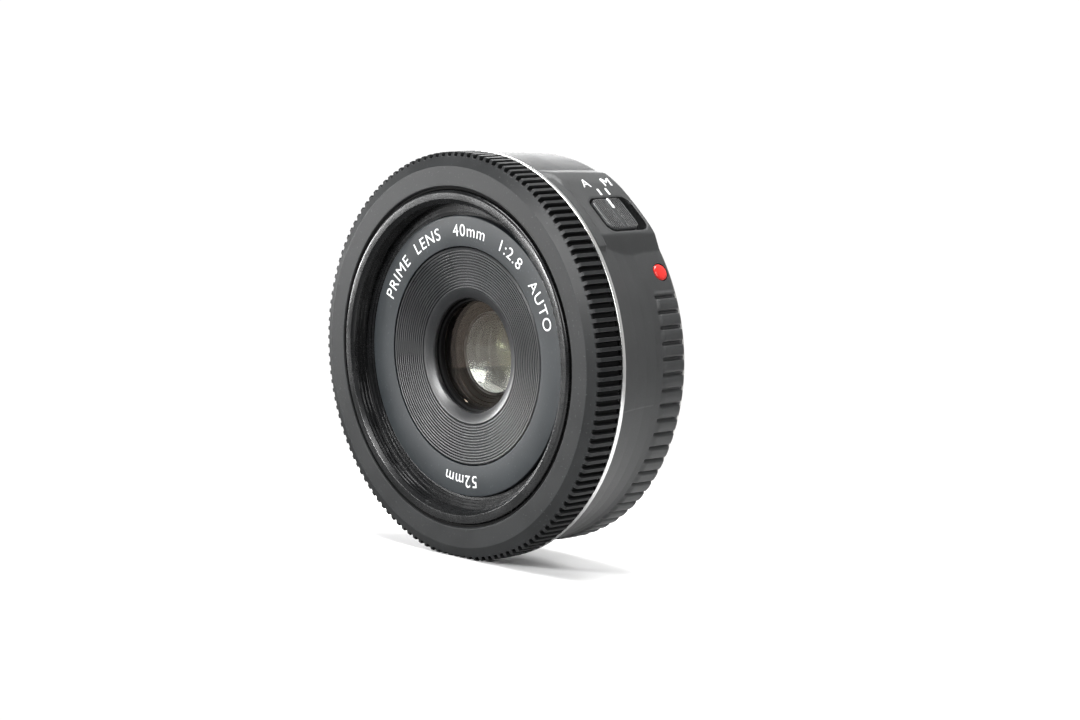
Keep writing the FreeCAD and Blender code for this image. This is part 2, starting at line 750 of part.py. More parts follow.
# focus motor on its bracket
bracket_plate = block(15.0, S.bracket_thick, 8.8, S.bracket_d, 16.5, motor_angle, 1.5)
bracket_posts = [rod(0.8, S.bracket_d - frame_front, frame_front, 17.6, motor_angle - 14.0),
                 rod(0.8, S.bracket_d - frame_front, frame_front, 23.4, motor_angle - 13.0)]
motor_shaft_hole = rod(0.9, 1.0, S.bracket_d - 0.2, MOTOR_R, motor_angle)
node("motor_bracket", cut("motor_bracket", fuse("bracket", bracket_plate, *bracket_posts),
                          motor_shaft_hole))
motor_d = S.bracket_d + S.bracket_thick
motor_can = rod(S.motor_r, S.motor_length, motor_d, MOTOR_R, motor_angle)
motor_bore = rod(0.5, 1.2, motor_d - 0.2, MOTOR_R, motor_angle)
node("focus_motor", cut("focus_motor", motor_can, motor_bore))

# ---------------------------------------------------------------- focus drive

idler_first = IDLER_ANGLE
step_bearing = bearing(idler_spot, step_spot)
step_first = first_tooth_in_mesh(STEP_TEETH, IDLER_TEETH, idler_first, step_bearing)
pinion_bearing = bearing(step_spot, motor_spot)
pinion_first = first_tooth_in_mesh(PINION_TEETH, WHEEL_TEETH, step_first, pinion_bearing)
module = S.gear_module.value
width = S.gear_width.value
low, high = S.low_gear_d.value, S.high_gear_d.value
axle_bore = S.axle_r.value + 0.05


def drilled(solid, radius, rear, front):
    """A gear round the axis with a hole along it."""
    return solid.cut(Part.makeCylinder(radius, front - rear + 1, Vector(0, -rear + 0.5, 0), Vector(0, -1, 0)))


def placed(name, solid, place):
    """A shape made round the axis, moved to its own place across the lens."""
    thing = feature(name, solid)
    thing.Placement = Placement(place, Rotation())
    return thing


idler = drilled(gear_solid(IDLER_TEETH, module, idler_first, low, width), axle_bore, low, high)
node("reduction_gear_2", placed("reduction_gear_2", idler, idler_spot))

step_gear = gear_solid(STEP_TEETH, module, step_first, low, high - low)
step_gear = step_gear.fuse(gear_solid(WHEEL_TEETH, module, step_first, high, width - 0.1))
step_gear = drilled(step_gear, axle_bore, low, high + width)
node("reduction_gear_1", placed("reduction_gear_1", step_gear, step_spot))

pinion = gear_solid(PINION_TEETH, module, pinion_first, high, width - 0.1)
pinion = pinion.fuse(cylinder_at(0.42, 3.4, 0, 0, 4.35))
node("motor_pinion", placed("motor_pinion", pinion, motor_spot))

drive_tube = turned("drive_tube", [
    (pitch_radius(RING_TEETH) + S.gear_module * DEDENDUM, S.drive_rear_d),
    (S.drive_r, S.drive_rear_d),
    (S.drive_r, S.drive_front_d),
    (S.drive_bore_r, S.drive_front_d),
    (S.drive_bore_r, S.high_gear_d + 0.15),
    (pitch_radius(RING_TEETH) + S.gear_module * DEDENDUM, S.high_gear_d + 0.15),
])
ring_step = 360.0 / RING_TEETH
toothed_range = (IDLER_ANGLE - DRIVE_SWEEP - 7.0, IDLER_ANGLE + 7.0)
tooth_gap_wire = toothed_wire(RING_TEETH, module, IDLER_ANGLE + ring_step / 2, True, toothed_range)
rim_wire = Part.Wire(Part.Circle(Vector(0, 0, 0), Vector(0, 1, 0), S.drive_r.value - 0.2).toShape())
toothed_rim = Part.Face([rim_wire, tooth_gap_wire])
toothed_rim.validate()
toothed_rim.translate(Vector(0, -low + 0.1, 0))
internal_teeth = feature("internal_teeth", toothed_rim.extrude(Vector(0, -(high - low), 0)))


def cam_slot(start):
    """The helical slot of one follower pin, from its rest place round the drive ring."""
    rise, sweep = S.focus_travel.value, math.radians(DRIVE_SWEEP)
    radius = (S.drive_r.value + S.drive_bore_r.value) / 2
    half_wide, half_deep = pin_room.value, 1.4
    steps = 42
    tools = []
    for i in range(steps + 1):
        share = i / steps
        angle = start - DRIVE_SWEEP * share
        hole = Part.makeCylinder(half_wide, 2 * half_deep, Vector(0, 0, radius - half_deep))
        hole.rotate(Vector(0, 0, 0), Vector(0, 1, 0), angle)
        hole.translate(Vector(0, -(S.pin_rest_d.value + rise * share), 0))
        tools.append(hole)
    slope = math.degrees(math.atan2(rise, radius * sweep))
    for i in range(steps):
        share = (i + 0.5) / steps
        run = radius * sweep / steps * 1.1
        link = Part.makeBox(run, 2 * half_wide, 2 * half_deep,
                            Vector(-run / 2, -half_wide, radius - half_deep))
        link.rotate(Vector(0, 0, 0), Vector(0, 0, 1), slope)
        link.rotate(Vector(0, 0, 0), Vector(0, 1, 0), start - DRIVE_SWEEP * share)
        link.translate(Vector(0, -(S.pin_rest_d.value + rise * share), 0))
        tools.append(link)
    return tools[0].multiFuse(tools[1:])


cam_slots = feature("cam_slots", Part.makeCompound([cam_slot(angle) for angle in FOLLOWER_ANGLES]))
node("drive_ring", cut("drive_ring", fuse("drive_blank", drive_tube, internal_teeth), cam_slots))

# ---------------------------------------------------------------- extending barrel

barrel_body = turned("barrel_body", [
    (S.barrel_bore_r, S.barrel_rear_d),
    (S.barrel_r, S.barrel_rear_d),
    (S.barrel_r, S.total_length - 0.5),
    (S.barrel_r - 0.5, S.total_length),
    (S.lip_inner_r, S.total_length),
    (S.thread_r, S.thread_front_d),
    (S.thread_r, S.thread_floor_d),
    (S.ledge_r, S.thread_floor_d - 0.2),
    (S.name_seat_r, S.thread_floor_d - 0.2),
    (S.name_seat_r, S.web_front_d),
    (S.front_cell_r + 0.1, S.web_front_d),
    (S.front_cell_r + 0.1, S.web_rear_d),
    (S.barrel_bore_r, S.web_rear_d),
])
THREAD_TURNS = 3
thread_grooves = []
for i in range(THREAD_TURNS):
    middle = S.thread_front_d - S.thread_pitch * (i + 0.85)
    thread_grooves.append(turned("thread_groove", [
        (S.thread_r - 0.1, middle - 0.28),
        (S.thread_r - 0.1, middle + 0.28),
        (S.thread_r, middle + 0.28),
        (S.thread_r + S.thread_depth, middle),
        (S.thread_r, middle - 0.28),
    ]))
follower_holes = [peg(S.pin_r, S.barrel_bore_r - 0.5, S.barrel_r + 0.5, S.pin_rest_d, angle)
                  for angle in FOLLOWER_ANGLES]
node("front_barrel", cut("front_barrel", barrel_body, *thread_grooves, *follower_holes))
node("cam_followers", group([peg(S.pin_r, S.barrel_bore_r + 0.1, S.drive_r - 0.2, S.pin_rest_d, angle)
                             for angle in FOLLOWER_ANGLES]))

node("name_ring", turned("name_ring", [
    (S.name_bore_r, S.web_front_d),
    (S.name_r, S.web_front_d),
    (S.name_r, S.name_front_d),
    (S.name_bore_r, S.name_front_d - S.name_fall),
]))

RIDGE_COUNT = 13
CONE_EDGE_D = 19.75
CONE_FOOT_D = 19.1
CONE_MOUTH_D = 18.5
cone_slope = (CONE_EDGE_D - CONE_FOOT_D) / (S.cone_r.value - S.cone_foot_r.value)
ridges = []
for i in range(RIDGE_COUNT):
    top_r = S.cone_r - S.ridge_pitch * (i + 0.3)
    base_d = CONE_EDGE_D - cone_slope * S.ridge_pitch.value * (i + 0.3)
    ridges.append((top_r, S.ridge_height + base_d))
    ridges.append((top_r - S.ridge_pitch * 0.5, base_d - cone_slope * 0.25))
node("ridged_cover", turned("ridged_cover", [
    (S.cone_r, S.web_front_d), (S.cone_r, CONE_EDGE_D)] + ridges + [
    (S.cone_foot_r, CONE_FOOT_D),
    (S.cone_mouth_r, CONE_MOUTH_D),
    (S.cone_mouth_r, CONE_MOUTH_D - 0.9),
    (S.cone_mouth_r + 0.6, CONE_MOUTH_D - 0.9),
    (S.cone_mouth_r + 0.6, S.web_front_d),
]))

# ---------------------------------------------------------------- front group

CELL_FLANGE_R = 14.5
CELL_FRONT_D = 17.3
L1_R, L2_R = 8.6, 8.0
node("front_cell", turned("front_cell", [
    (L2_R, S.iris_cover_d + S.iris_cover_thick),
    (S.front_cell_r, S.iris_cover_d + S.iris_cover_thick),
    (S.front_cell_r, S.web_rear_d - 0.6),
    (CELL_FLANGE_R, S.web_rear_d - 0.6),
    (CELL_FLANGE_R, S.web_rear_d),
    (S.front_cell_r, S.web_rear_d),
    (S.front_cell_r - 0.8, CELL_FRONT_D + 0.1),
    (L1_R, CELL_FRONT_D + 0.1),
    (L1_R, 13.4),
    (L2_R, 13.4),
]))
node("lens_1", lens_element(L1_R, 14.2, 16.9, -60.0, 22.0))
node("lens_2", lens_element(L2_R, 13.1, 14.2, -20.0, 60.0))
node("front_retainer", ring("front_retainer", L1_R, 7.9, 15.5, CELL_FRONT_D))
BARREL_SCREW_R = 12.6
BARREL_SCREW_ANGLES = spread(3, 90.0)
node("barrel_screws", feature("barrel_screws", Part.makeCompound([
    screw(angle, BARREL_SCREW_R, 16.6, 1.0, 0.5, 0.5, 17.05) for angle in BARREL_SCREW_ANGLES])))

# ---------------------------------------------------------------- iris

iris_floor_front = S.iris_rear_d + S.iris_floor
iris_ring_r = S.iris_bore_r - 0.1
iris_module = S.iris_module.value
iris_pitch_r = pitch_radius(IRIS_TEETH, S.iris_module)
iris_pinion_r = pitch_radius(IRIS_PINION_TEETH, S.iris_module)
iris_motor_at = iris_pitch_r + iris_pinion_r
housing_cup = turned("housing_cup", [
    (S.stop_r, S.iris_rear_d),
    (S.iris_housing_r, S.iris_rear_d),
    (S.iris_housing_r, S.iris_cover_d + S.iris_cover_thick),
    (S.iris_bore_r, S.iris_cover_d + S.iris_cover_thick),
    (S.iris_bore_r, iris_floor_front),
    (S.stop_r, iris_floor_front),
])
blade_angles = spread(BLADE_COUNT, 10.0)
pivot_holes = [rod(S.blade_peg_r + 0.03, 2.0, S.iris_rear_d - 0.5, S.blade_pivot_r, angle)
               for angle in blade_angles]
SECTOR_HALF = 14.0
tooth_window = sector("tooth_window", IRIS_MOTOR_ANGLE, IRIS_SWEEP * 2 + SECTOR_HALF * 2 + 8.0,
                      S.iris_ring_d - 0.2, S.iris_cover_d + S.iris_cover_thick + 1.0)
window_ring = ring("window_ring", 16.0, S.iris_bore_r - 0.5, S.iris_ring_d - 0.2,
                   S.iris_cover_d + S.iris_cover_thick + 1.0)
node("iris_housing", cut("iris_housing", housing_cup,
                         common("window", tooth_window, window_ring), *pivot_holes))

cover_ring = ring("cover_ring", S.iris_bore_r - 0.02, L2_R - 0.1, S.iris_cover_d,
                  S.iris_cover_d + S.iris_cover_thick)
cover_lobe = rod(S.iris_motor_r + 0.4, S.iris_cover_thick, S.iris_cover_d, iris_motor_at, IRIS_MOTOR_ANGLE)
cover_neck = block(6.0, S.iris_cover_thick, 6.0, S.iris_cover_d, 11.5, IRIS_MOTOR_ANGLE)
cover_hole = rod(0.6, 1.0, S.iris_cover_d - 0.3, iris_motor_at, IRIS_MOTOR_ANGLE)
node("iris_cover", cut("iris_cover", fuse("cover", cover_ring, cover_lobe, cover_neck), cover_hole))
iris_motor_d = S.iris_cover_d + S.iris_cover_thick
iris_can = rod(S.iris_motor_r, S.iris_motor_length, iris_motor_d, iris_motor_at, IRIS_MOTOR_ANGLE)
iris_can_bore = rod(0.5, 1.2, iris_motor_d - 0.2, iris_motor_at, IRIS_MOTOR_ANGLE)
node("iris_motor", cut("iris_motor", iris_can, iris_can_bore))

drive_peg_r = 11.4


def blade_peg_path(steps):
    """Where a blade's drive peg stands in the iris ring as the iris closes, from the top place."""
    pivot = spot(0.0, S.blade_pivot_r.value)
    start = spot(BLADE_DRIVE_ANGLE, drive_peg_r)
    path = []
    for i in range(steps + 1):
        share = i / steps
        swung = turn(BLADE_SWING * share).multVec(start - pivot) + pivot
        path.append(turn(-IRIS_SWEEP * share).multVec(swung))
    return path


IRIS_SECTOR = (IRIS_MOTOR_ANGLE - IRIS_SWEEP - SECTOR_HALF, IRIS_MOTOR_ANGLE + SECTOR_HALF)
iris_teeth = feature("iris_teeth", gear_solid(IRIS_TEETH, iris_module, IRIS_MOTOR_ANGLE,
                                              S.iris_ring_d.value, S.iris_ring_thick.value))
iris_sector = sector("iris_sector", sum(IRIS_SECTOR) / 2, IRIS_SECTOR[1] - IRIS_SECTOR[0], 9.0, 12.0)
iris_disc = ring("iris_disc", iris_ring_r, L2_R - 0.1, S.iris_ring_d, S.iris_ring_d + S.iris_ring_thick)
peg_slots = []
for blade_angle in blade_angles:
    marks = [cylinder_at(S.blade_peg_r.value + 0.06, 2.0, 0.0, 0.0, S.iris_ring_d.value - 0.5)
             for _ in range(25)]
    for mark, place in zip(marks, blade_peg_path(24)):
        mark.translate(turn(blade_angle).multVec(place))
    peg_slots.append(marks[0].multiFuse(marks[1:]))
node("iris_ring", cut("iris_ring", fuse("iris_blank", iris_disc, common("iris_gear", iris_teeth, iris_sector)),
                      feature("peg_slots", Part.makeCompound(peg_slots))))

iris_pinion = gear_solid(IRIS_PINION_TEETH, iris_module,
                         first_tooth_in_mesh(IRIS_PINION_TEETH, IRIS_TEETH, IRIS_MOTOR_ANGLE, IRIS_MOTOR_ANGLE),
                         S.iris_ring_d.value, S.iris_ring_thick.value)
iris_pinion = iris_pinion.fuse(cylinder_at(0.42, 1.9, 0, 0, S.iris_ring_d.value))
node("iris_pinion", placed("iris_pinion", iris_pinion, spot(IRIS_MOTOR_ANGLE, iris_motor_at.value)))


def arc_band(inner, outer, first, last, depth, thick):
    """A flat strip between two radii and two angles."""
    def corner(angle, radius):
        return spot(angle, radius) + Vector(0, -depth, 0)

    middle = (first + last) / 2
    edges = [
        Part.Arc(corner(first, inner), corner(middle, inner), corner(last, inner)).toShape(),
        Part.LineSegment(corner(last, inner), corner(last, outer)).toShape(),
        Part.Arc(corner(last, outer), corner(middle, outer), corner(first, outer)).toShape(),
        Part.LineSegment(corner(first, outer), corner(first, inner)).toShape(),
    ]
    return Part.Face(Part.Wire(edges)).extrude(Vector(0, -thick, 0))


for i, blade_angle in enumerate(blade_angles):
    depth = S.blade_d.value + S.blade_step.value * i
    thick = S.blade_thick.value
    leaf = arc_band(S.blade_inner_r.value, S.blade_outer_r.value, -8.0, BLADE_SPAN, depth, thick)
    ear = arc_band(S.blade_outer_r.value - 0.3, 12.0, -4.0, BLADE_DRIVE_ANGLE + 3.5, depth, thick)
    pivot_start = S.iris_rear_d.value + 0.1
    pivot_peg = cylinder_at(S.blade_peg_r.value, depth - pivot_start, 0.0,
                            S.blade_pivot_r.value, pivot_start)
    peg_end = S.iris_ring_d.value + S.iris_ring_thick.value
    drive_peg = cylinder_at(S.blade_peg_r.value, peg_end - depth, BLADE_DRIVE_ANGLE, drive_peg_r, depth)
    blade = leaf.multiFuse([ear, pivot_peg, drive_peg])
    blade.rotate(Vector(0, 0, 0), Vector(0, 1, 0), blade_angle)
    node(f"iris_blade_{i + 1}", feature(f"iris_blade_{i + 1}", blade))

# ---------------------------------------------------------------- rear group

L3_R, L5_R, L6_R = 7.4, 9.0, 10.6
L6_SEAT_D = -0.55
L5_SEAT_D = 3.4
L4_SEAT_D = 4.25
node("rear_cell", turned("rear_cell", [
    (L6_R, S.rear_cell_rear_d),
    (S.rear_cell_r, S.rear_cell_rear_d),
    (S.rear_cell_r, S.iris_rear_d),
    (L3_R, S.iris_rear_d),
    (L3_R, L4_SEAT_D),
    (L3_R - 0.7, L4_SEAT_D),
    (L3_R - 0.7, L5_SEAT_D),
    (L5_R, L5_SEAT_D),
    (L5_R, L6_SEAT_D),
    (L6_R, L6_SEAT_D),
]))
node("lens_3", lens_element(L3_R, 6.2, 7.0, -30.0, -20.0))
node("lens_4", lens_element(L3_R, 3.0, 6.2, 18.0, 30.0))
node("lens_5", lens_element(L5_R, 0.4, 2.0, 20.0, -30.0))
node("lens_6", lens_element(L6_R, -1.5, 0.1, -60.0, 60.0))
node("middle_retainer", ring("middle_retainer", L5_R, L5_R - 0.7, 1.0, 2.1))
node("rear_retainer", ring("rear_retainer", L6_R, L6_R - 1.0, -2.95, -2.5))

# ---------------------------------------------------------------- checks and files

doc.recompute()
broken = [thing.Label for thing in doc.Objects if {"Invalid", "Error"} & set(thing.State)]
if broken:
    raise SystemExit(f"these objects failed: {broken}")
for part in nodes:
    if part.Shape.isNull() or not part.Shape.isValid() or part.Shape.Volume <= 0:
        raise SystemExit(f"{part.Label} has no valid shape")

os.makedirs("parts", exist_ok=True)
for part in nodes:
    part.Shape.exportStep(f"parts/{part.Label}.step")
print(len(nodes), "sub-parts written")
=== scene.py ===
"""The looks of a thin autofocus prime lens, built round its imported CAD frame. Lengths are in
millimetres until they reach a mesh or a material. Depth runs from the mount flange towards the subject
(-Y), and angles run from +Z towards +X."""

import math

import bpy
import numpy as np
from mathutils import Matrix, Vector
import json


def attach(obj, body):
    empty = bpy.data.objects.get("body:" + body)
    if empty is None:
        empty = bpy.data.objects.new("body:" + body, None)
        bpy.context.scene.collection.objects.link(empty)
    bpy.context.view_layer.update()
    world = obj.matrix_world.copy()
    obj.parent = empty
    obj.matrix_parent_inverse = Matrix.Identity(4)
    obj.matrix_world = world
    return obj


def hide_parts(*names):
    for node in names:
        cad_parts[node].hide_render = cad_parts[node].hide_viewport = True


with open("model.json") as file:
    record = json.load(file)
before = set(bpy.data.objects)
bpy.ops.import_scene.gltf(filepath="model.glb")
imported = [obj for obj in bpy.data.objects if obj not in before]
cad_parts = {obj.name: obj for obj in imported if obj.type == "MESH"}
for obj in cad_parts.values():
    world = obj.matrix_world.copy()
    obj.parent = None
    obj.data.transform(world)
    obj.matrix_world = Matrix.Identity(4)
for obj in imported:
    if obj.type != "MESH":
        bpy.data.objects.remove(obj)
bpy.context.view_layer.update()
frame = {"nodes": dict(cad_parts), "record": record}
MM = 0.001
TURN = 2 * math.pi

BODY = "fixed_body"
RING = "focus_ring_body"
UNIT = "optical_unit"
SWITCH = "switch_body"

WHITE = (1.0, 1.0, 1.0, 1.0)


# ---------------------------------------------------------------- materials

class Nodes:
    """A short way to write a node tree."""

    def __init__(self, tree):
        self.tree = tree

    def fill(self, socket, value):
        """Links another node's output, or sets a plain value."""
        if isinstance(value, bpy.types.NodeSocket):
            self.tree.links.new(value, socket)
        else:
            socket.default_value = value

    def add(self, kind, inputs=(), **settings):
        made = self.tree.nodes.new(kind)
        for key, value in settings.items():
            setattr(made, key, value)
        for key, value in dict(inputs).items():
            self.fill(made.inputs[key], value)
        return made

    def place(self, space="Object"):
        return self.add("ShaderNodeTexCoord").outputs[space]

    def axes(self, vector):
        """The three parts of a vector."""
        return self.add("ShaderNodeSeparateXYZ", {0: vector}).outputs

    def noise(self, scale, detail=3.0, rough=0.5, at=None):
        where = at or self.place()
        return self.add("ShaderNodeTexNoise", {
            "Vector": where, "Scale": scale, "Detail": detail, "Roughness": rough}).outputs["Fac"]

    def math(self, operation, a, b=0.0):
        return self.add("ShaderNodeMath", {0: a, 1: b}, operation=operation).outputs[0]

    def span(self, value, low, high, to_low, to_high):
        """Maps one range to another and holds the ends."""
        return self.add("ShaderNodeMapRange", {
            "Value": value, "From Min": low, "From Max": high,
            "To Min": to_low, "To Max": to_high}).outputs[0]

    def mix(self, factor, a, b):
        """Blends two colours."""
        made = self.add("ShaderNodeMix", data_type="RGBA")
        for key, value in (("Factor", factor), ("A", a), ("B", b)):
            self.fill([s for s in made.inputs if s.name == key and s.enabled][0], value)
        return [s for s in made.outputs if s.enabled][0]

    def bump(self, height, strength, distance):
        return self.add("ShaderNodeBump", {
            "Height": height, "Strength": strength, "Distance": distance}).outputs[0]


class Look(Nodes):
    """A material and its main shader."""

    def __init__(self, name):
        self.material = bpy.data.materials.new(name)
        self.material.use_nodes = True
        super().__init__(self.material.node_tree)
        self.shader = self.tree.nodes["Principled BSDF"]
        self.output = self.tree.nodes["Material Output"]

    def give(self, key, value):
        """Sets one of the main shader's inputs."""
        self.fill(self.shader.inputs[key], value)

    def blend(self, factor, other):
        """Puts another shader in the main one's place where the factor is 1."""
        made = self.add("ShaderNodeMixShader", {0: factor, 1: self.shader.outputs[0], 2: other.outputs[0]})
        self.fill(self.output.inputs[0], made.outputs[0])


def rgba(colour, share=1.0):
    return (*[c * share for c in colour], 1.0)


EDGE_REACH, EDGE_START, EDGE_FULL = 0.00018, 0.02, 0.30


def edge_wear(n):
    """0 on flats to 1 on sharp edges."""
    bevel = n.add("ShaderNodeBevel", {"Radius": EDGE_REACH}, samples=4).outputs[0]
    normal = n.add("ShaderNodeNewGeometry").outputs["Normal"]
    dot = n.add("ShaderNodeVectorMath", {0: bevel, 1: normal}, operation="DOT_PRODUCT").outputs["Value"]
    return n.span(dot, 1.0 - EDGE_START, 1.0 - EDGE_FULL, 0.0, 1.0)


def axis_radius(n):
    """Distance from the optical axis, in metres."""
    x, _, z = n.axes(n.place())
    return n.math("SQRT", n.math("ADD", n.math("MULTIPLY", x, x), n.math("MULTIPLY", z, z)))


CLOUD_SCALE = 140.0
DUST_SCALE, DUST_FROM, DUST_TO = 2600.0, 0.70, 0.76
GRIP_END_Y = (-0.0213, -0.0216)
# painted shade: the share of colour and specular left at the foot of a grip's grooves
GROOVE_SHADE_SHARE = 0.3


def moulded(name, colour, roughness, grain=3500.0, grain_height=0.000012, spots=0.25, specular=0.5,
            wear=0.0, worn_grey=0.16, grooves=None):
    """Black plastic with a fine spark-eroded grain, faint cloudiness, dust and rubbed edges. The
    grooves are the foot and top radius, in metres, between which painted shade darkens a grip behind its
    front end."""
    n = Look(name)
    cloud = n.noise(CLOUD_SCALE, 4.0, 0.6)
    fine = n.noise(grain, 2.0, 0.6)
    dust = n.span(n.noise(DUST_SCALE, 1.0, 0.4), DUST_FROM, DUST_TO, 0.0, spots)
    tone = n.mix(n.span(cloud, 0.3, 0.7, 0.0, 1.0), rgba(colour, 0.86), rgba(colour, 1.16))
    tone = n.mix(dust, tone, rgba([c * 2.2 + 0.012 for c in colour]))
    if wear:
        worn = n.math("MULTIPLY", edge_wear(n), n.span(cloud, 0.35, 0.65, 0.2 * wear, wear))
        tone = n.mix(worn, tone, rgba([worn_grey] * 3))
    n.give("Specular IOR Level", specular)
    # painted shade: the groove floors behind the grip's front end are darkened and made less glossy, standing
    # in for the shade deep in the grooves
    if grooves:
        unshaded = n.span(axis_radius(n), grooves[0], grooves[1], 0.0, 1.0)
        front = n.span(n.axes(n.place())[1], GRIP_END_Y[0], GRIP_END_Y[1], 0.0, 1.0)
        unshaded = n.math("MAXIMUM", unshaded, front)
        tone = n.mix(unshaded, rgba(colour, GROOVE_SHADE_SHARE), tone)
        n.give("Specular IOR Level", n.span(unshaded, 0.0, 1.0, specular * GROOVE_SHADE_SHARE, specular))
    n.give("Base Color", tone)
    n.give("Roughness", n.math("ADD", n.span(cloud, 0.3, 0.7, roughness - 0.05, roughness + 0.05),
                               n.span(fine, 0.3, 0.7, -0.04, 0.04)))
    n.give("Normal", n.bump(fine, 1.0, grain_height))
    return n.material


def turned_metal(name, colour, roughness, metallic=1.0, lines=9000.0, height=0.000004):
    """Metal with fine turning lines round the axis."""
    n = Look(name)
    across = n.add("ShaderNodeCombineXYZ", {0: axis_radius(n), 1: n.axes(n.place())[1], 2: 0.0}).outputs[0]
    scratches = n.noise(lines, 3.0, 0.7, at=across)
    cloud = n.noise(220.0, 4.0, 0.6)
    n.give("Base Color", n.mix(n.span(cloud, 0.3, 0.7, 0.0, 1.0), rgba(colour, 0.92), rgba(colour)))
    n.give("Metallic", metallic)
    n.give("Roughness", n.math("ADD", n.span(scratches, 0.3, 0.7, roughness - 0.06, roughness + 0.06),
                               n.span(cloud, 0.3, 0.7, -0.03, 0.05)))
    n.give("Normal", n.bump(scratches, 0.6, height))
    return n.material


def plated_metal(name, colour, roughness):
    """Plated or ground metal with small random marks."""
    n = Look(name)
    cloud = n.noise(300.0, 4.0, 0.6)
    fine = n.noise(1500.0, 4.0, 0.7)
    n.give("Base Color", n.mix(n.span(cloud, 0.3, 0.7, 0.0, 1.0), rgba(colour, 0.9), rgba(colour)))
    n.give("Metallic", 1.0)
    n.give("Roughness", n.span(fine, 0.3, 0.7, roughness - 0.05, roughness + 0.07))
    n.give("Normal", n.bump(fine, 0.5, 0.000003))
    return n.material


def lettering(name, colour):
    """Filled or printed paint, slightly uneven."""
    n = Look(name)
    cloud = n.noise(2500.0, 3.0, 0.6)
    n.give("Base Color", n.mix(n.span(cloud, 0.35, 0.65, 0.0, 1.0), rgba(colour, 0.93), rgba(colour)))
    n.give("Roughness", n.span(cloud, 0.3, 0.7, 0.37, 0.53))
    n.give("Normal", n.bump(cloud, 0.4, 0.000006))
    return n.material


def glossy(name, colour, roughness):
    """Glossy paint or plastic with a faint orange peel."""
    n = Look(name)
    cloud = n.noise(900.0, 2.0, 0.5)
    n.give("Base Color", n.mix(n.span(cloud, 0.3, 0.7, 0.0, 1.0), rgba(colour, 0.92), rgba(colour)))
    n.give("Roughness", n.span(cloud, 0.3, 0.7, roughness - 0.03, roughness + 0.06))
    n.give("Normal", n.bump(cloud, 0.35, 0.00001))
    return n.material


SOFT_SHARE = 0.2
SHEEN_ROUGHNESS, SHEEN_IOR = 0.24, 2.0


def coated_glass(name, tint, coat, strength, ior=1.5, glare=0.15, sheen=0.0):
    """Clear glass whose coating gives its reflections a colour that grows towards the rim, with a
    blurred sheen over it. It lets a share of the soft light through to what lies behind it."""
    n = Look(name)
    path = n.add("ShaderNodeLightPath").outputs
    soft = n.math("MAXIMUM", path["Is Shadow Ray"], path["Is Diffuse Ray"])
    clear = n.add("ShaderNodeBsdfTransparent", {"Color": rgba(tint, SOFT_SHARE)})
    facing = n.add("ShaderNodeLayerWeight", {"Blend": 0.35}).outputs["Facing"]
    haze = n.span(n.noise(180.0, 3.0, 0.6), 0.4, 0.75, 0.0, 1.0)
    body = n.mix(haze, rgba(tint), rgba(tint, 0.97))
    for key, value in (("Transmission Weight", 1.0), ("IOR", ior), ("Specular IOR Level", glare),
                       ("Roughness", 0.0), ("Coat Weight", sheen), ("Coat Roughness", SHEEN_ROUGHNESS),
                       ("Coat IOR", SHEEN_IOR),
                       ("Base Color", n.mix(n.span(facing, 0.0, 1.0, 0.0, strength), body, rgba(coat))),
                       ("Specular Tint", n.mix(n.span(facing, 0.0, 1.0, 0.0, 1.0), rgba(coat), WHITE))):
        n.give(key, value)
    n.blend(soft, clear)
    return n.material


casing_skin = moulded("casing_skin", (0.033, 0.034, 0.0345), 0.46, grain=4800.0, grain_height=0.000014,
                      wear=0.25, worn_grey=0.10)
# the focus ring's knurl grooves get painted shade
ring_skin = moulded("ring_skin", (0.0165, 0.0173, 0.0178), 0.44, grain=5200.0, grain_height=0.000015,
                    spots=0.7, specular=0.20, wear=0.55, worn_grey=0.17, grooves=(0.03345, 0.03400))
barrel_skin = moulded("barrel_skin", (0.007, 0.0073, 0.0077), 0.26, grain=6500.0, grain_height=0.000005,
                      spots=0.2)
plate_skin = moulded("plate_skin", (0.0165, 0.0200, 0.0225), 0.42, grain=5000.0, grain_height=0.000008,
                     spots=0.6, specular=0.31)
cone_skin = moulded("cone_skin", (0.0165, 0.0172, 0.0182), 0.34, grain=5200.0, grain_height=0.000018,
                    spots=0.4, specular=0.43)
knob_skin = moulded("knob_skin", (0.028, 0.029, 0.030), 0.36, grain=5000.0, wear=1.0, worn_grey=0.20)
well_skin = moulded("well_skin", (0.003, 0.003, 0.0032), 0.6, spots=0.05, specular=0.12)
rim_skin = turned_metal("rim_skin", (0.16, 0.16, 0.16), 0.28, metallic=0.8, lines=16000.0)
inner_black = moulded("inner_black", (0.010, 0.010, 0.0105), 0.55, spots=0.15)
felt_skin = moulded("felt_skin", (0.006, 0.006, 0.006), 0.95, grain=9000.0, grain_height=0.00003,
                    specular=0.1)
frame_skin = moulded("frame_skin", (0.020, 0.020, 0.020), 0.55)
drive_skin = moulded("drive_skin", (0.045, 0.045, 0.046), 0.4)
cell_skin = turned_metal("cell_skin", (0.004, 0.004, 0.0042), 0.55, metallic=0.0, lines=16000.0,
                         height=0.000006)
silver_skin = turned_metal("silver_skin", (0.86, 0.86, 0.85), 0.22, lines=14000.0, height=0.000002)
mount_skin = turned_metal("mount_skin", (0.66, 0.655, 0.635), 0.30, lines=7000.0)
steel_skin = plated_metal("steel_skin", (0.58, 0.57, 0.55), 0.28)
bright_skin = plated_metal("bright_skin", (0.68, 0.67, 0.66), 0.24)
motor_skin = turned_metal("motor_skin", (0.60, 0.59, 0.56), 0.32)
gold_skin = plated_metal("gold_skin", (0.95, 0.70, 0.32), 0.18)
gear_skin = glossy("gear_skin", (0.72, 0.70, 0.64), 0.35)
red_skin = glossy("red_skin", (0.72, 0.028, 0.022), 0.16)
white_paint = lettering("white_paint", (0.86, 0.87, 0.87))
board_skin = glossy("board_skin", (0.02, 0.12, 0.055), 0.4)
flex_skin = glossy("flex_skin", (0.45, 0.20, 0.045), 0.3)
blade_skin = turned_metal("blade_skin", (0.012, 0.012, 0.013), 0.5, metallic=0.0)
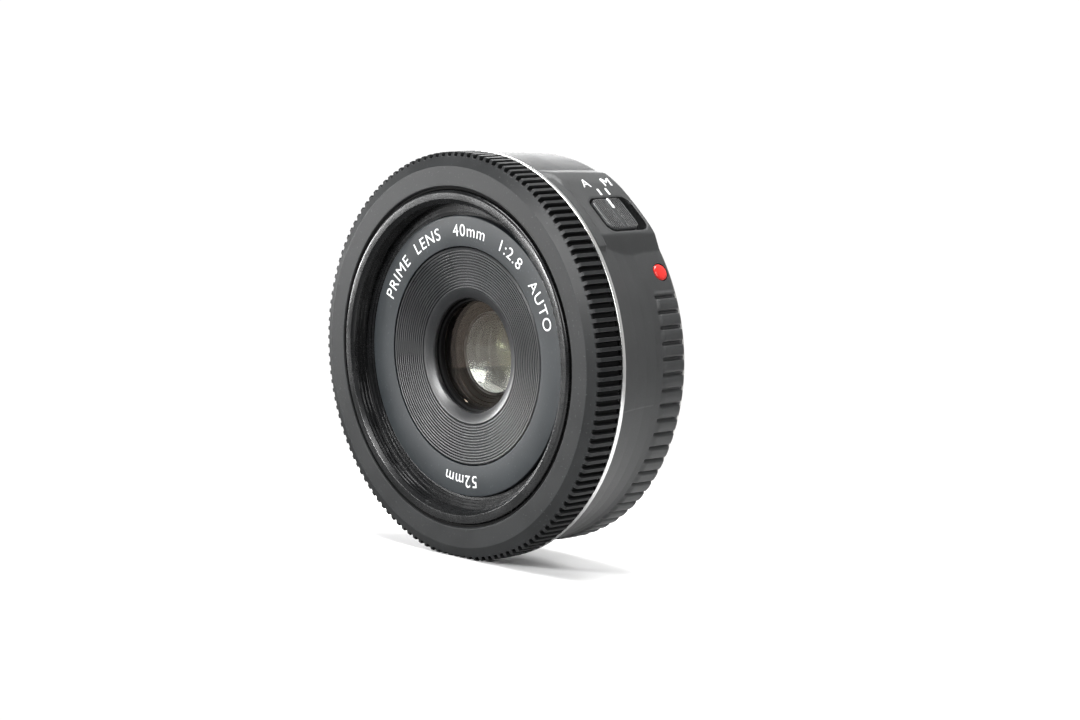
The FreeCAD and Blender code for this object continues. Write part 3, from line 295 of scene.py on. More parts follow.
front_glass = coated_glass("front_glass", (0.97, 0.97, 0.93), (1.0, 0.72, 0.50), 0.25, ior=1.6)
inner_glass = coated_glass("inner_glass", (0.90, 0.90, 0.80), (0.85, 0.85, 0.60), 0.35, ior=1.55, glare=0.2)
second_glass = coated_glass("second_glass", (0.55, 0.56, 0.42), (1.0, 1.0, 0.92), 0.1, ior=1.75, glare=0.2,
                            sheen=1.0)
rear_glass = coated_glass("rear_glass", (0.94, 0.97, 0.98), (0.55, 0.62, 0.92), 0.45, ior=1.6)

BY_SLOT = {
    "casing_plastic": casing_skin, "focus_ring_plastic": ring_skin, "barrel_paint": barrel_skin,
    "name_ring_paint": plate_skin, "ridged_plastic": cone_skin, "silver_metal": silver_skin,
    "index_red": red_skin, "knob_plastic": knob_skin, "mount_metal": mount_skin, "screw_steel": steel_skin,
    "black_plastic": inner_black, "gold_contact": gold_skin, "front_glass": front_glass,
    "rear_glass": rear_glass, "inner_glass": inner_glass, "cell_black": cell_skin,
    "frame_plastic": frame_skin, "drive_plastic": drive_skin, "gear_plastic": gear_skin,
    "motor_steel": motor_skin, "bright_steel": bright_skin, "board_green": board_skin,
    "flex_orange": flex_skin, "felt_black": felt_skin, "blade_black": blade_skin,
}
NODE_SLOT = {part["node"]: part["material_slot"] for part in frame["record"]["subparts"]}
for node_name, thing in frame["nodes"].items():
    thing.data.materials.clear()
    thing.data.materials.append(BY_SLOT[NODE_SLOT[node_name]])


# ---------------------------------------------------------------- meshes

SMOOTH_ANGLE = 32.0


def add_object(name, data):
    made = bpy.data.objects.new(name, data)
    bpy.context.scene.collection.objects.link(made)
    return made


def evaluated_mesh(thing):
    """A copy of the object's mesh with its modifiers applied."""
    bpy.context.view_layer.update()
    graph = bpy.context.evaluated_depsgraph_get()
    return bpy.data.meshes.new_from_object(thing.evaluated_get(graph))


def moved(mesh, matrix):
    mesh.transform(matrix)
    mesh.update()
    return mesh


def quick_mesh(name, points, quads, smooth_angle):
    """A mesh from millimetre points and four-cornered faces; corners under the angle are smoothed."""
    mesh = bpy.data.meshes.new(name)
    points = np.asarray(points, float) * MM
    quads = np.asarray(quads, np.int32)
    mesh.vertices.add(len(points))
    mesh.vertices.foreach_set("co", points.astype(np.float32).ravel())
    mesh.loops.add(quads.size)
    mesh.loops.foreach_set("vertex_index", quads.ravel())
    mesh.polygons.add(len(quads))
    mesh.polygons.foreach_set("loop_start", np.arange(0, quads.size, quads.shape[1], dtype=np.int32))
    mesh.update(calc_edges=True)
    mesh.validate()
    outward(mesh)
    soften(mesh, smooth_angle)
    return mesh


def outward(mesh):
    """Turns a closed mesh's faces outwards."""
    mesh.calc_loop_triangles()
    points = np.empty(len(mesh.vertices) * 3, np.float32)
    mesh.vertices.foreach_get("co", points)
    points = points.reshape(-1, 3).astype(float)
    corners = np.empty(len(mesh.loop_triangles) * 3, np.int32)
    mesh.loop_triangles.foreach_get("vertices", corners)
    a, b, c = (points[corners.reshape(-1, 3)[:, k]] for k in range(3))
    if np.einsum("ij,ij->i", a, np.cross(b, c)).sum() < 0:
        mesh.flip_normals()
    mesh.update()


def soften(mesh, smooth_angle):
    """Smooth shading that keeps edges sharper than the angle."""
    mesh.polygons.foreach_set("use_smooth", np.ones(len(mesh.polygons), bool))
    mesh.set_sharp_from_angle(angle=math.radians(smooth_angle))
    mesh.update()


def piece(name, mesh, material, body, replaced=(), slot=None):
    """Puts a mesh in the scene on its body, in place of the CAD nodes it stands for."""
    made = add_object(name, mesh)
    mesh.materials.clear()
    mesh.materials.append(material)
    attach(made, body)
    if replaced:
        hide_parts(*replaced)
        slot = slot or NODE_SLOT[replaced[0]]
    return made


def swept(name, angles, radii, depths, smooth_angle):
    """A ring mesh: one closed outline of (radius, depth) per angle, in degrees."""
    angles = np.radians(np.asarray(angles, float))
    radii, depths = np.asarray(radii, float), np.asarray(depths, float)
    count, around = len(angles), radii.shape[1]
    points = np.stack([radii * np.sin(angles)[:, None], -depths, radii * np.cos(angles)[:, None]], -1)
    i = np.arange(count)[:, None]
    j = np.arange(around)[None, :]
    after, beside = (i + 1) % count, (j + 1) % around
    quads = np.stack([i * around + j, i * around + beside, after * around + beside, after * around + j], -1)
    return quick_mesh(name, points.reshape(-1, 3), quads.reshape(-1, 4), smooth_angle)


def rounded(outline, corner, steps):
    """The closed outline with its corners rounded; corner is one radius or one per point."""
    outline = [np.array(p, float) for p in outline]
    corners = corner if hasattr(corner, "__len__") else [corner] * len(outline)
    made = []
    for i, here in enumerate(outline):
        before, after = outline[i - 1], outline[(i + 1) % len(outline)]
        a, b = before - here, after - here
        la, lb = np.linalg.norm(a), np.linalg.norm(b)
        if corners[i] <= 0:
            made.append(here)
            continue
        a, b = a / la, b / lb
        half = math.acos(max(-1.0, min(1.0, float(a @ b)))) / 2
        if half > math.radians(89):
            made.append(here)
            continue
        reach = min(corners[i] / math.tan(half), la * 0.48, lb * 0.48)
        radius = reach * math.tan(half)
        centre = here + (a + b) / np.linalg.norm(a + b) * radius / math.sin(half)
        start, end = here + a * reach - centre, here + b * reach - centre
        turn = math.atan2(start[0] * end[1] - start[1] * end[0], float(start @ end))
        for k in range(steps + 1):
            t = turn * k / steps
            made.append(centre + np.array([start[0] * math.cos(t) - start[1] * math.sin(t),
                                           start[0] * math.sin(t) + start[1] * math.cos(t)]))
    return np.array(made)


def spaced(outline, step):
    """The closed outline with points added so that none are further apart than the step."""
    made = []
    for a, b in zip(outline, np.roll(outline, -1, 0)):
        parts = max(1, int(math.ceil(np.linalg.norm(b - a) / step)))
        made += [a + (b - a) * k / parts for k in range(parts)]
    return np.array(made)


def full_turn(count):
    """Evenly spaced angles, in degrees."""
    return np.arange(count) * 360.0 / count


def repeated(outline, count):
    """The outline's radii and its depths, repeated for every angle."""
    outline = np.asarray(outline, float)
    return [np.repeat(outline[None, :, column], count, 0) for column in (0, 1)]


def lathe(name, outline, segments, smooth_angle):
    """A turned ring or disc from a closed (radius, depth) outline."""
    radii, depths = repeated(outline, segments)
    return swept(name, full_turn(segments), radii, depths, smooth_angle)


def turned_piece(name, outline, segments, smooth_angle, material, body, replaced=(), slot=None):
    return piece(name, lathe(name, outline, segments, smooth_angle), material, body, replaced, slot)


def smooth_max(a, b, k):
    return 0.5 * (a + b + np.sqrt((a - b) ** 2 + k * k))


def smooth_min(a, b, k):
    return 0.5 * (a + b - np.sqrt((a - b) ** 2 + k * k))


def ease(value, start, end):
    t = np.clip((value - start) / (end - start), 0.0, 1.0)
    return t * t * (3 - 2 * t)


def off_angle(angles, middle):
    """How far each angle lies from the middle, from -180 to 180."""
    return (np.asarray(angles, float) - middle + 180.0) % 360.0 - 180.0


def cut_away(target, *tools):
    """Takes the tool meshes out of a piece for good."""
    for tool in tools:
        cutter = add_object("cutter", tool)
        modifier = target.modifiers.new("cut", "BOOLEAN")
        modifier.operation, modifier.solver, modifier.object = "DIFFERENCE", "EXACT", cutter
        mesh = evaluated_mesh(target)
        target.modifiers.clear()
        target.data = mesh
        bpy.data.objects.remove(cutter)
    return target


def slab(name, outline, levels):
    """A solid from a closed outline; each level is (height, inset) and the ends are closed."""
    outline = np.asarray(outline, float)
    centre = outline.mean(0)
    nearest = np.linalg.norm(outline - centre, axis=1).mean()
    count = len(outline)
    points, quads = [], []
    for height, inset in levels:
        shrunk = centre + (outline - centre) * (1 - inset / nearest)
        points += [(x, y, height) for x, y in shrunk]
    for level in range(len(levels) - 1):
        for i in range(count):
            k = (i + 1) % count
            below, above = level * count, (level + 1) * count
            quads.append((below + i, below + k, above + k, above + i))
    mesh = bpy.data.meshes.new(name)
    ends = [tuple(reversed(range(count))), tuple(range((len(levels) - 1) * count, len(levels) * count))]
    mesh.from_pydata([tuple(c * MM for c in p) for p in points], [], quads + ends)
    mesh.validate()
    outward(mesh)
    soften(mesh, SMOOTH_ANGLE)
    return mesh


CIRCLE = np.array([(math.cos(k * TURN / 48), math.sin(k * TURN / 48)) for k in range(48)])


def disc(name, radius, levels):
    """A round slab."""
    return slab(name, CIRCLE * radius, levels)


def joined(name, meshes, smooth_angle=SMOOTH_ANGLE):
    """One mesh from several."""
    points, faces, start = [], [], 0
    for mesh in meshes:
        points += [tuple(v.co) for v in mesh.vertices]
        faces += [tuple(start + i for i in p.vertices) for p in mesh.polygons]
        start += len(mesh.vertices)
    made = bpy.data.meshes.new(name)
    made.from_pydata(points, [], faces)
    soften(made, smooth_angle)
    return made


def rectangle(x0, x1, y0, y1, corner, steps):
    """A rounded rectangle, anticlockwise."""
    return rounded([(x0, y0), (x1, y0), (x1, y1), (x0, y1)], corner, steps)


PAD_TURN = 40.0
PAD_ANGLE = math.radians(PAD_TURN)


def on_pad(mesh):
    """Moves a mesh made with x = depth, y = tangential place, z = radius onto the switch side."""
    sine, cosine = math.sin(PAD_ANGLE), math.cos(PAD_ANGLE)
    return moved(mesh, Matrix(((0, cosine, sine, 0), (-1, 0, 0, 0), (0, -sine, cosine, 0), (0, 0, 0, 1))))


def words(name, text, size, extrude, spacing=1.0, bold=0.0):
    """Text as a mesh in millimetres: x along the line from its middle, y up, z outwards."""
    curve = bpy.data.curves.new(name, "FONT")
    curve.body, curve.size, curve.space_character = text, size, spacing
    curve.extrude, curve.offset, curve.resolution_u = extrude, bold, 6
    curve.align_x = "CENTER"
    holder = add_object(name, curve)
    mesh = evaluated_mesh(holder)
    bpy.data.objects.remove(holder)
    return mesh


def bend_words(mesh, angle, radius, depth_at):
    """Lays a line of text round the axis, its letters pointing outwards, seen from the front. The
    letters keep their width a little above their foot."""
    width_r = radius + 0.6
    for v in mesh.vertices:
        r = radius + v.co.y
        a = math.radians(angle) + v.co.x / width_r
        depth = depth_at(r) + v.co.z
        v.co = Vector((r * math.sin(a), -depth, r * math.cos(a))) * MM
    mesh.update()
    return mesh


# ---------------------------------------------------------------- casing

REAR_D, FRONT_D = 0.7, 15.7
SHELL_D, SHELL_R = zip((REAR_D, 32.0), (0.95, 32.25), (1.5, 32.42), (5.2, 32.38), (7.2, 32.22), (9.5, 32.34),
                       (12.0, 32.72), (14.2, 33.25), (FRONT_D, 33.62))
RIBS, RIB_STEPS = 80, 18
RIB_FIRST = 1.4
RIB_FROM, RIB_TO = 67.6, 323.0
RIB_RUN_D, RIB_END_D = 5.35, 6.0
RIB_LIFT, RIB_GROOVE, RIB_CROWN, GROOVE_SHARE = 0.20, 0.60, 0.05, 0.115
PANEL_D, PANEL_R = zip((REAR_D, 32.5), (1.6, 33.05), (9.0, 33.45), (FRONT_D, 33.66))
PANEL_EDGE, PANEL_FLAT = 31.0, 23.0
PAD_H, PAD_LOW_T = 33.7, 5.8
SLOT_D0, SLOT_D1, SLOT_T0, SLOT_T1 = 2.45, 11.6, -2.35, 5.35
SLOT_MID_D, SLOT_MID_T = (SLOT_D0 + SLOT_D1) / 2, (SLOT_T0 + SLOT_T1) / 2
SLOT_CORNER = 1.7
LIP_DEPTH, LIP_WIDTH = 0.10, 0.16
CASING_LIMIT_R = 34.5
DOT_D, DOT_ANGLE, DOT_R, DOT_RECESS_R = 2.9, 61.5, 1.40, 1.55
DOT_EDGE_R, DOT_RISE = 32.35, 0.42


def slot_distance(depth, t):
    """Distance from the switch slot's outline, negative inside."""
    x = np.abs(depth - SLOT_MID_D) - ((SLOT_D1 - SLOT_D0) / 2 - SLOT_CORNER)
    y = np.abs(t - SLOT_MID_T) - ((SLOT_T1 - SLOT_T0) / 2 - SLOT_CORNER)
    outside = np.hypot(np.maximum(x, 0), np.maximum(y, 0))
    return outside + np.minimum(np.maximum(x, y), 0) - SLOT_CORNER


def with_ribs(base, turn, depth):
    """The shell with its grip ribs."""
    around = ease(turn, RIB_FROM - 0.6, RIB_FROM + 0.4) * (1 - ease(turn, RIB_TO - 0.4, RIB_TO + 0.6))
    phase = np.abs(((turn - RIB_FIRST) * RIBS / 360.0 + 0.5) % 1.0 - 0.5)
    groove = RIB_GROOVE * np.exp(-(phase / GROOVE_SHARE) ** 3)
    crown = RIB_CROWN * np.cos(np.clip(phase * 2, 0, 1) * math.pi)
    run = 1 - ease(depth, RIB_RUN_D, RIB_END_D)
    lift = RIB_LIFT * (1 - ease(depth, 5.0, 6.1)) * ease(depth, REAR_D, 1.3)
    return base + around * (lift - (groove + crown) * run)


def with_panel(base, turn, panel):
    """The shell raised to the top panel's radius."""
    reach = ease(np.abs(off_angle(turn, 0.0)), PANEL_EDGE, PANEL_FLAT)
    top = panel * reach + (base - 0.4) * (1 - reach)
    return smooth_max(base, top, 0.05)


def with_pad(base, turn, depth, panel):
    """The shell raised to the switch pad, a flat that five limits hold down, and to the strip in front
    of it."""
    delta = np.radians(off_angle(turn, PAD_TURN))
    near = np.cos(delta) > 0.5
    cosine, sine = np.where(near, np.cos(delta), 1.0), np.where(near, np.sin(delta), 0.0)
    t = PAD_H * np.tan(np.clip(delta, -1.2, 1.2))
    wall = (PAD_H + PAD_LOW_T + 0.15) / np.maximum(cosine + sine, 0.05)
    seam = np.where(t < 0, panel + 0.12 + np.maximum(t + 11.6, 0.0) * 0.30, 60.0)
    crest = 34.42 - (FRONT_D - depth) * 0.03
    rear = 32.25 + (depth - 0.85) * 1.7
    front = 33.80 + (FRONT_D - depth) * 0.30
    pad = PAD_H / cosine
    for limit, blend in ((wall, 0.25), (seam, 0.06), (crest, 0.08), (rear, 0.30), (front, 0.15)):
        pad = smooth_min(pad, limit, blend)
    strip = ease(depth, 13.55, 13.95) * ease(-delta, -math.radians(14.3), -math.radians(13.3))
    strip = strip * ease(delta, -math.radians(16.0), -math.radians(13.0))
    band = 34.10 - 0.3 * np.clip(14.2 - depth, 0, 1)
    pad = np.maximum(pad, base - 0.02 + (band - base) * strip)
    whole = np.where(near, smooth_max(base, pad, 0.16 * ease(t, -6.0, 3.0) + 0.02), base)
    lip = LIP_DEPTH * np.exp(-(np.maximum(slot_distance(depth, t), 0.0) / LIP_WIDTH) ** 2)
    return whole - np.where(near & (np.abs(t - SLOT_MID_T) < 6), lip, 0.0)


def casing_radius(angle, depth):
    """The casing's outer radius: waisted shell, ribs, top panel and switch pad."""
    turn = angle % 360.0
    panel = np.interp(depth, PANEL_D, PANEL_R)
    base = with_ribs(np.interp(depth, SHELL_D, SHELL_R), turn, depth)
    base = with_panel(base, turn, panel)
    return np.minimum(with_pad(base, turn, depth, panel), CASING_LIMIT_R)


def casing_mesh():
    angles = full_turn(RIBS * RIB_STEPS)
    outer = np.concatenate([[REAR_D], np.arange(0.78, 1.6, 0.1), np.arange(1.6, 15.55, 0.155),
                            [15.62, FRONT_D]])
    a, d = np.meshgrid(angles, outer, indexing="ij")
    r = casing_radius(a, d)
    r[:, 0] -= 0.16
    r[:, -1] -= 0.10
    inner_r, inner_d = repeated([(30.8, FRONT_D), (30.8, 15.0), (31.0, 14.9), (31.0, 2.8), (28.0, 2.8),
                                 (28.0, 1.75), (31.9, 1.75), (31.9, REAR_D)], len(angles))
    radii, depths = np.concatenate([r, inner_r], 1), np.concatenate([d, inner_d], 1)
    return swept("casing_shell", angles, radii, depths, 38.0)


def at_angle(mesh, angle, depth):
    """Moves a mesh made with z outwards to an angle and depth."""
    return moved(mesh, Matrix.Translation((0, -depth * MM, 0)) @ Matrix.Rotation(math.radians(angle), 4, "Y"))


casing = piece("casing_shell", casing_mesh(), casing_skin, BODY, ["casing"])
slot_plan = rectangle(SLOT_D0, SLOT_D1, SLOT_T0, SLOT_T1, SLOT_CORNER, 8)[::-1]
slot_tool = on_pad(slab("slot_tool", slot_plan, [(30.0, 0), (37.0, 0)]))
dot_tool = at_angle(disc("dot_tool", DOT_RECESS_R, [(31.4, 0), (36.0, 0)]), DOT_ANGLE, DOT_D)
cut_away(casing, slot_tool, dot_tool)
soften(casing.data, 38.0)

# red alignment dot, a shallow dome in its recess
dome_levels = [(31.3, 0.0), (DOT_EDGE_R, 0.0)]
for k in range(1, 9):
    slope = k * math.pi / 16
    dome_levels.append((DOT_EDGE_R + DOT_RISE * math.sin(slope), DOT_R * (1 - math.cos(slope)) * 0.985))
piece("index_dot_dome", at_angle(disc("index_dot_dome", DOT_R, dome_levels), DOT_ANGLE, DOT_D), red_skin,
      BODY, ["index_dot"])

turned_piece("trim_ring", rounded([(31.95, 15.75), (34.0, 15.75), (34.0, 16.6), (31.95, 16.6)], 0.16, 4),
             300, 45.0, silver_skin, BODY, ["silver_ring"])

# ---------------------------------------------------------------- focus ring

TEETH, TOOTH_STEPS = 136, 16
KNURL_R, KNURL_FOOT = 34.1, 33.35
TOOTH_GAP, TOOTH_TOP = 0.235, 0.305


def focus_ring_mesh():
    """The toothed ring with its bevelled face, hollow behind the front plate."""
    count = TEETH * TOOTH_STEPS
    outline = rounded([(31.2, 16.75), (KNURL_R, 16.75), (KNURL_R, 21.40), (31.78, 22.46), (28.55, 22.5),
                       (28.35, 22.3), (28.35, 21.45), (31.2, 21.45)],
                      [0.0, 0.22, 0.20, 0.10, 0.12, 0.08, 0.0, 0.0], 4)
    radii, depths = repeated(spaced(outline, 0.25), count)
    phase = (np.arange(count) % TOOTH_STEPS) / TOOTH_STEPS - 0.5
    limit = KNURL_FOOT + (KNURL_R + 0.05 - KNURL_FOOT) * ease(np.abs(phase), TOOTH_GAP, TOOTH_TOP)
    limit = limit + 0.02 * np.cos(phase * TURN)
    knurled = (radii > KNURL_FOOT - 0.6) & (depths < 21.9)
    radii = np.where(knurled, smooth_min(radii, limit[:, None], 0.03), radii)
    return swept("focus_ring_grip", full_turn(count), radii, depths, 30.0)


piece("focus_ring_grip", focus_ring_mesh(), ring_skin, RING, ["focus_ring"])

# ---------------------------------------------------------------- front barrel and name ring

THREAD_PITCH, THREAD_ROOT_R, THREAD_HEIGHT = 0.75, 25.62, 0.34
BARREL_STEPS = 288


def barrel_mesh():
    """The front tube: the outside with its rounded lip, a helical filter thread, and the steps inside."""
    outside = rounded([(26.4, 11.0), (27.8, 11.0), (27.8, 22.8), (26.35, 22.8), (25.75, 22.35)],
                      [0.0, 0.1, 0.55, 0.14, 0.0], 6)
    thread = np.arange(22.25, 19.95, -0.0375)
    inside = [(25.6, 19.9), (25.6, 19.82), (25.15, 19.80), (25.1, 19.62), (24.65, 19.60), (24.6, 19.45),
              (24.15, 19.43), (24.1, 19.3), (23.7, 19.25), (23.7, 18.6), (18.4, 18.6), (18.4, 17.7),
              (26.4, 17.7)]
    angles = full_turn(BARREL_STEPS)
    phase = ((thread - 19.9) / THREAD_PITCH - angles[:, None] / 360.0) % 1.0
    tooth = np.clip(np.abs(phase - 0.5) * 2.6 - 0.22, 0.0, 1.0)
    fade = np.clip((thread - 20.0) / 0.25, 0, 1) * np.clip((22.32 - thread) / 0.22, 0, 1)
    root = np.full_like(thread, THREAD_ROOT_R)
    radii, depths = repeated(np.concatenate([outside, np.stack([root, thread], 1), inside]), BARREL_STEPS)
    radii[:, len(outside):len(outside) + len(thread)] += THREAD_HEIGHT * (1 - tooth) * fade
    return swept("front_tube", angles, radii, depths, 40.0)


def plate_depth(radius):
    """The name ring's face: nearly flat, rising a little outwards."""
    return 19.78 + (radius - 18.3) * 0.025


piece("front_tube", barrel_mesh(), barrel_skin, UNIT, ["front_barrel"])
turned_piece("name_plate", rounded([(18.35, 18.7), (23.5, 18.7), (23.5, plate_depth(23.5)),
                                    (18.35, plate_depth(18.35))], [0.0, 0.0, 0.18, 0.10], 4),
             288, 40.0, plate_skin, UNIT, ["name_ring"])

LETTER_R, LETTER_SIZE = 20.05, 2.9
line_meshes = []
for text, middle in (("PRIME  LENS   40mm   1:2.8   AUTO", 2.8), ("52mm", 181.9)):
    line_mesh = words("letters", text, LETTER_SIZE, 0.012, 1.14, -0.003)
    line_meshes.append(bend_words(line_mesh, middle, LETTER_R, lambda r: plate_depth(r) + 0.004))
piece("name_letters", joined("name_letters", line_meshes), white_paint, UNIT, slot="name_ring_paint")

# small locating pip on the ledge outside the name ring
PIP_R, PIP_ANGLE, PIP_PLACE_R, PIP_D = 0.32, 93.0, 24.6, 19.45
pip = disc("ledge_pip", PIP_R, [(0.0, 0.0), (0.16, 0.0), (0.22, 0.1)])
pip.transform(Matrix.Rotation(math.radians(PIP_ANGLE), 4, "Y")
              @ Matrix.Translation((0, -PIP_D * MM, PIP_PLACE_R * MM))
              @ Matrix.Rotation(math.radians(90), 4, "X"))
piece("ledge_pip", pip, barrel_skin, UNIT, slot="barrel_paint")

RIDGES = 14


def cone_outline():
    """The ridged cover: small steps falling from the name ring to the mouth, then a smooth lip."""
    start, end = np.array([17.95, 19.72]), np.array([11.45, 19.02])
    face = [(18.15, 18.65), (18.15, 19.62)]
    for k in range(RIDGES):
        a = start + (end - start) * k / RIDGES
        b = start + (end - start) * (k + 1) / RIDGES
        width = a[0] - b[0]
        face += [(a[0], a[1] + 0.02), (a[0] - width * 0.42, a[1] - 0.015), (a[0] - width * 0.58, b[1] - 0.17),
                 (b[0] + width * 0.06, b[1] - 0.13)]
    lip = [(11.35, 19.05), (11.0, 18.98), (10.2, 18.62), (9.75, 18.40), (9.6, 18.15), (9.6, 17.6),
           (9.9, 17.45), (17.0, 17.9), (17.6, 18.3)]
    return face + lip


turned_piece("ridged_funnel", cone_outline(), 288, 24.0, cone_skin, UNIT, ["ridged_cover"])

# ---------------------------------------------------------------- glass


def lens_mesh(name, edge_r, rear, front, rear_curve, front_curve):
    """A glass element between two vertex depths; a positive curve bulges outwards."""
    def face(vertex, curve, side):
        r = np.linspace(0.0, edge_r - 0.02, 22)
        sag = abs(curve) - np.sqrt(curve * curve - r * r)
        r[0] = 0.002
        return np.stack([r, vertex - side * math.copysign(1, curve) * sag], 1)
    outline = np.concatenate([face(rear, rear_curve, -1), face(front, front_curve, 1)[::-1]])
    return lathe(name, outline, 144, 45.0)


LENSES = (
    ("lens_1", "glass_1", 9.27, 15.7, 17.0, -90.0, 90.0, front_glass),
    ("lens_2", "glass_2", 6.6, 11.5, 12.2, -30.0, -30.0, second_glass),
    ("lens_3", "glass_3", 7.4, 6.2, 7.0, -30.0, -20.0, inner_glass),
    ("lens_4", "glass_4", 7.4, 3.0, 6.2, 18.0, 30.0, inner_glass),
    ("lens_5", "glass_5", 9.0, 0.4, 2.0, 20.0, -30.0, inner_glass),
    ("lens_6", "glass_6", 10.6, -1.5, 0.1, -60.0, 60.0, rear_glass),
)
for node_name, name, edge_r, rear, front, rear_curve, front_curve, material in LENSES:
    piece(name, lens_mesh(name, edge_r, rear, front, rear_curve, front_curve), material, UNIT, [node_name])

turned_piece("front_lock_ring", rounded([(9.0, 16.3), (9.55, 16.3), (9.55, 17.3), (9.15, 17.3)], 0.05, 3),
             180, 40.0, well_skin, UNIT, ["front_retainer"])
well_steps = [(9.2, 14.9), (8.7, 14.75), (8.65, 14.3), (8.2, 14.15), (8.15, 13.7), (7.55, 13.55), (7.5, 13.1)]
front_cell = [(5.2, 10.9), (10.6, 10.9), (10.6, 17.1), (14.5, 17.1), (14.5, 17.65), (10.6, 17.65),
              (9.8, 17.35), (9.32, 17.35), (9.28, 15.0)] + well_steps + [(7.0, 13.0), (6.95, 11.1)]
turned_piece("front_mount_cell", front_cell, 180, 20.0, well_skin, UNIT, ["front_cell"])
turned_piece("second_bezel", rounded([(6.6, 12.75), (7.0, 12.75), (7.0, 13.15), (6.8, 13.15)], 0.04, 3),
             180, 30.0, rim_skin, UNIT, slot="cell_black")

# ---------------------------------------------------------------- switch

KNOB_D0, KNOB_D1, KNOB_T0, KNOB_T1 = 4.35, 11.15, -2.0, 5.0
KNOB_TOP = 33.82
KNOB_RIDGES, RIDGE_FIRST_D, RIDGE_PITCH, RIDGE_WIDTH = 15, 4.95, 0.40, 0.2
LINE_GAP_D0, LINE_GAP_D1 = 6.95, 7.9
MARK_A_D, MARK_M_D = 7.62, 5.80


def knob_mesh():
    """The knob's rounded block with its ridges, which leave a gap for the painted line."""
    parts = [slab("knob_body", rectangle(KNOB_D0, KNOB_D1, KNOB_T0, KNOB_T1, 1.5, 8)[::-1],
                  [(32.0, 0.0), (KNOB_TOP - 0.35, 0.02), (KNOB_TOP - 0.15, 0.10), (KNOB_TOP - 0.03, 0.20),
                   (KNOB_TOP, 0.32)])]
    for k in range(KNOB_RIDGES):
        d = RIDGE_FIRST_D + k * RIDGE_PITCH
        if LINE_GAP_D0 < d < LINE_GAP_D1:
            continue
        inset = 0.22 + 0.35 * (max(0.0, 5.4 - d) + max(0.0, d - 10.0))
        plan = rectangle(d, d + RIDGE_WIDTH, KNOB_T0 + inset, KNOB_T1 - inset, 0.09, 3)[::-1]
        levels = [(KNOB_TOP - 0.15, 0.0), (KNOB_TOP + 0.10, 0.0), (KNOB_TOP + 0.17, 0.04)]
        parts.append(slab("bar", plan, levels))
    return joined("mode_knob", [on_pad(part) for part in parts], 40.0)


def painted_bar(name, middle, t0, t1, bottom, top):
    """A painted line 0.4 wide along t."""
    return on_pad(slab(name, rectangle(middle - 0.2, middle + 0.2, t0, t1, 0.05, 2)[::-1],
                       [(bottom, 0.0), (top, 0.0)]))


def mode_letter(text, depth):
    mesh = words("mode", text, 2.6, 0.15)
    mesh.transform(Matrix(((-1, 0, 0, depth), (0, -1, 0, -4.85), (0, 0, 1, PAD_H - 0.13), (0, 0, 0, 1))))
    mesh.transform(Matrix.Diagonal((MM, MM, MM, 1)))
    return on_pad(mesh)


piece("mode_knob", knob_mesh(), knob_skin, SWITCH, ["switch_knob"])
piece("knob_line", painted_bar("knob_line", 7.42, -1.75, 0.45, KNOB_TOP - 0.1, KNOB_TOP + 0.19), white_paint,
      SWITCH, slot="knob_plastic")
marks = [painted_bar("mark", d, -4.3, -2.85, PAD_H - 0.3, PAD_H + 0.02) for d in (MARK_A_D, MARK_M_D)]
marks += [mode_letter("A", 9.3), mode_letter("M", 4.5)]
piece("mode_marks", joined("mode_marks", marks), white_paint, BODY, slot="casing_plastic")

# ---------------------------------------------------------------- mount and rear

LUGS = ((0.0, 62.0), (118.0, 56.0), (239.0, 60.0))
SPIGOT_R, LUG_R, LUG_REAR_D, LUG_FRONT_D = 25.5, 26.9, -3.0, -1.0
MOUNT_STEPS = 1080


def mount_mesh():
    """The mount's flange and spigot with its three lugs."""
    angles = full_turn(MOUNT_STEPS)
    lugged = np.zeros(MOUNT_STEPS)
    for middle, width in LUGS:
        edge = np.abs(off_angle(angles, middle)) - width / 2
        lugged = np.maximum(lugged, 1 - ease(edge, -0.8, 0.0))
    spigot = rounded([(31.7, 1.6), (31.7, 0.0), (25.4, 0.0), (25.4, -1.3), (SPIGOT_R, -1.3), (SPIGOT_R, -2.7),
                      (25.4, -2.7), (25.4, -5.4), (23.6, -5.4), (23.6, 1.6)],
                     [0.0, 0.25, 0.12, 0.03, 0.01, 0.01, 0.03, 0.3, 0.25, 0.0], 4)
    radii, depths = repeated(spigot, MOUNT_STEPS)
    r, d = spigot[:, 0], spigot[:, 1]
    band = (r > 25.42) & (r < 25.6) & (d < LUG_FRONT_D) & (d > LUG_REAR_D)
    radii[:, band] += lugged[:, None] * (LUG_R - SPIGOT_R)
    return swept("bayonet", angles, radii, depths, 30.0)


def spot(angle, radius, depth=0.0):
    a = math.radians(angle)
    return Vector((radius * math.sin(a) * MM, -depth * MM, radius * math.cos(a) * MM))


def facing_rear(mesh, place, turn=0.0):
    """Moves a mesh made with z outwards so that z points to the rear."""
    return moved(mesh, Matrix.Translation(place) @ Matrix.Rotation(math.radians(-90), 4, "X")
                 @ Matrix.Rotation(math.radians(turn), 4, "Z"))


def cross_screw(radius, height):
    """A pan head with a cross recess, z outwards."""
    head = disc("head", radius, [(-0.4, 0.0), (height * 0.35, 0.0), (height * 0.75, radius * 0.12),
                                 (height, radius * 0.42)])
    holder = add_object("head", head)
    arm, thick = radius * 0.62, radius * 0.14
    recess = [(height * 0.25, thick * 0.3), (height + 1, 0)]
    cut_away(holder, *[slab("arm", rectangle(-a, a, -b, b, 0.03, 2), recess)
                       for a, b in ((arm, thick), (thick, arm))])
    mesh = holder.data
    bpy.data.objects.remove(holder)
    return mesh


def screws(name, places, radius, height, turns, replaced):
    meshes = [facing_rear(cross_screw(radius, height), place, turn) for place, turn in zip(places, turns)]
    return piece(name, joined(name, meshes, 35.0), steel_skin, BODY, replaced)


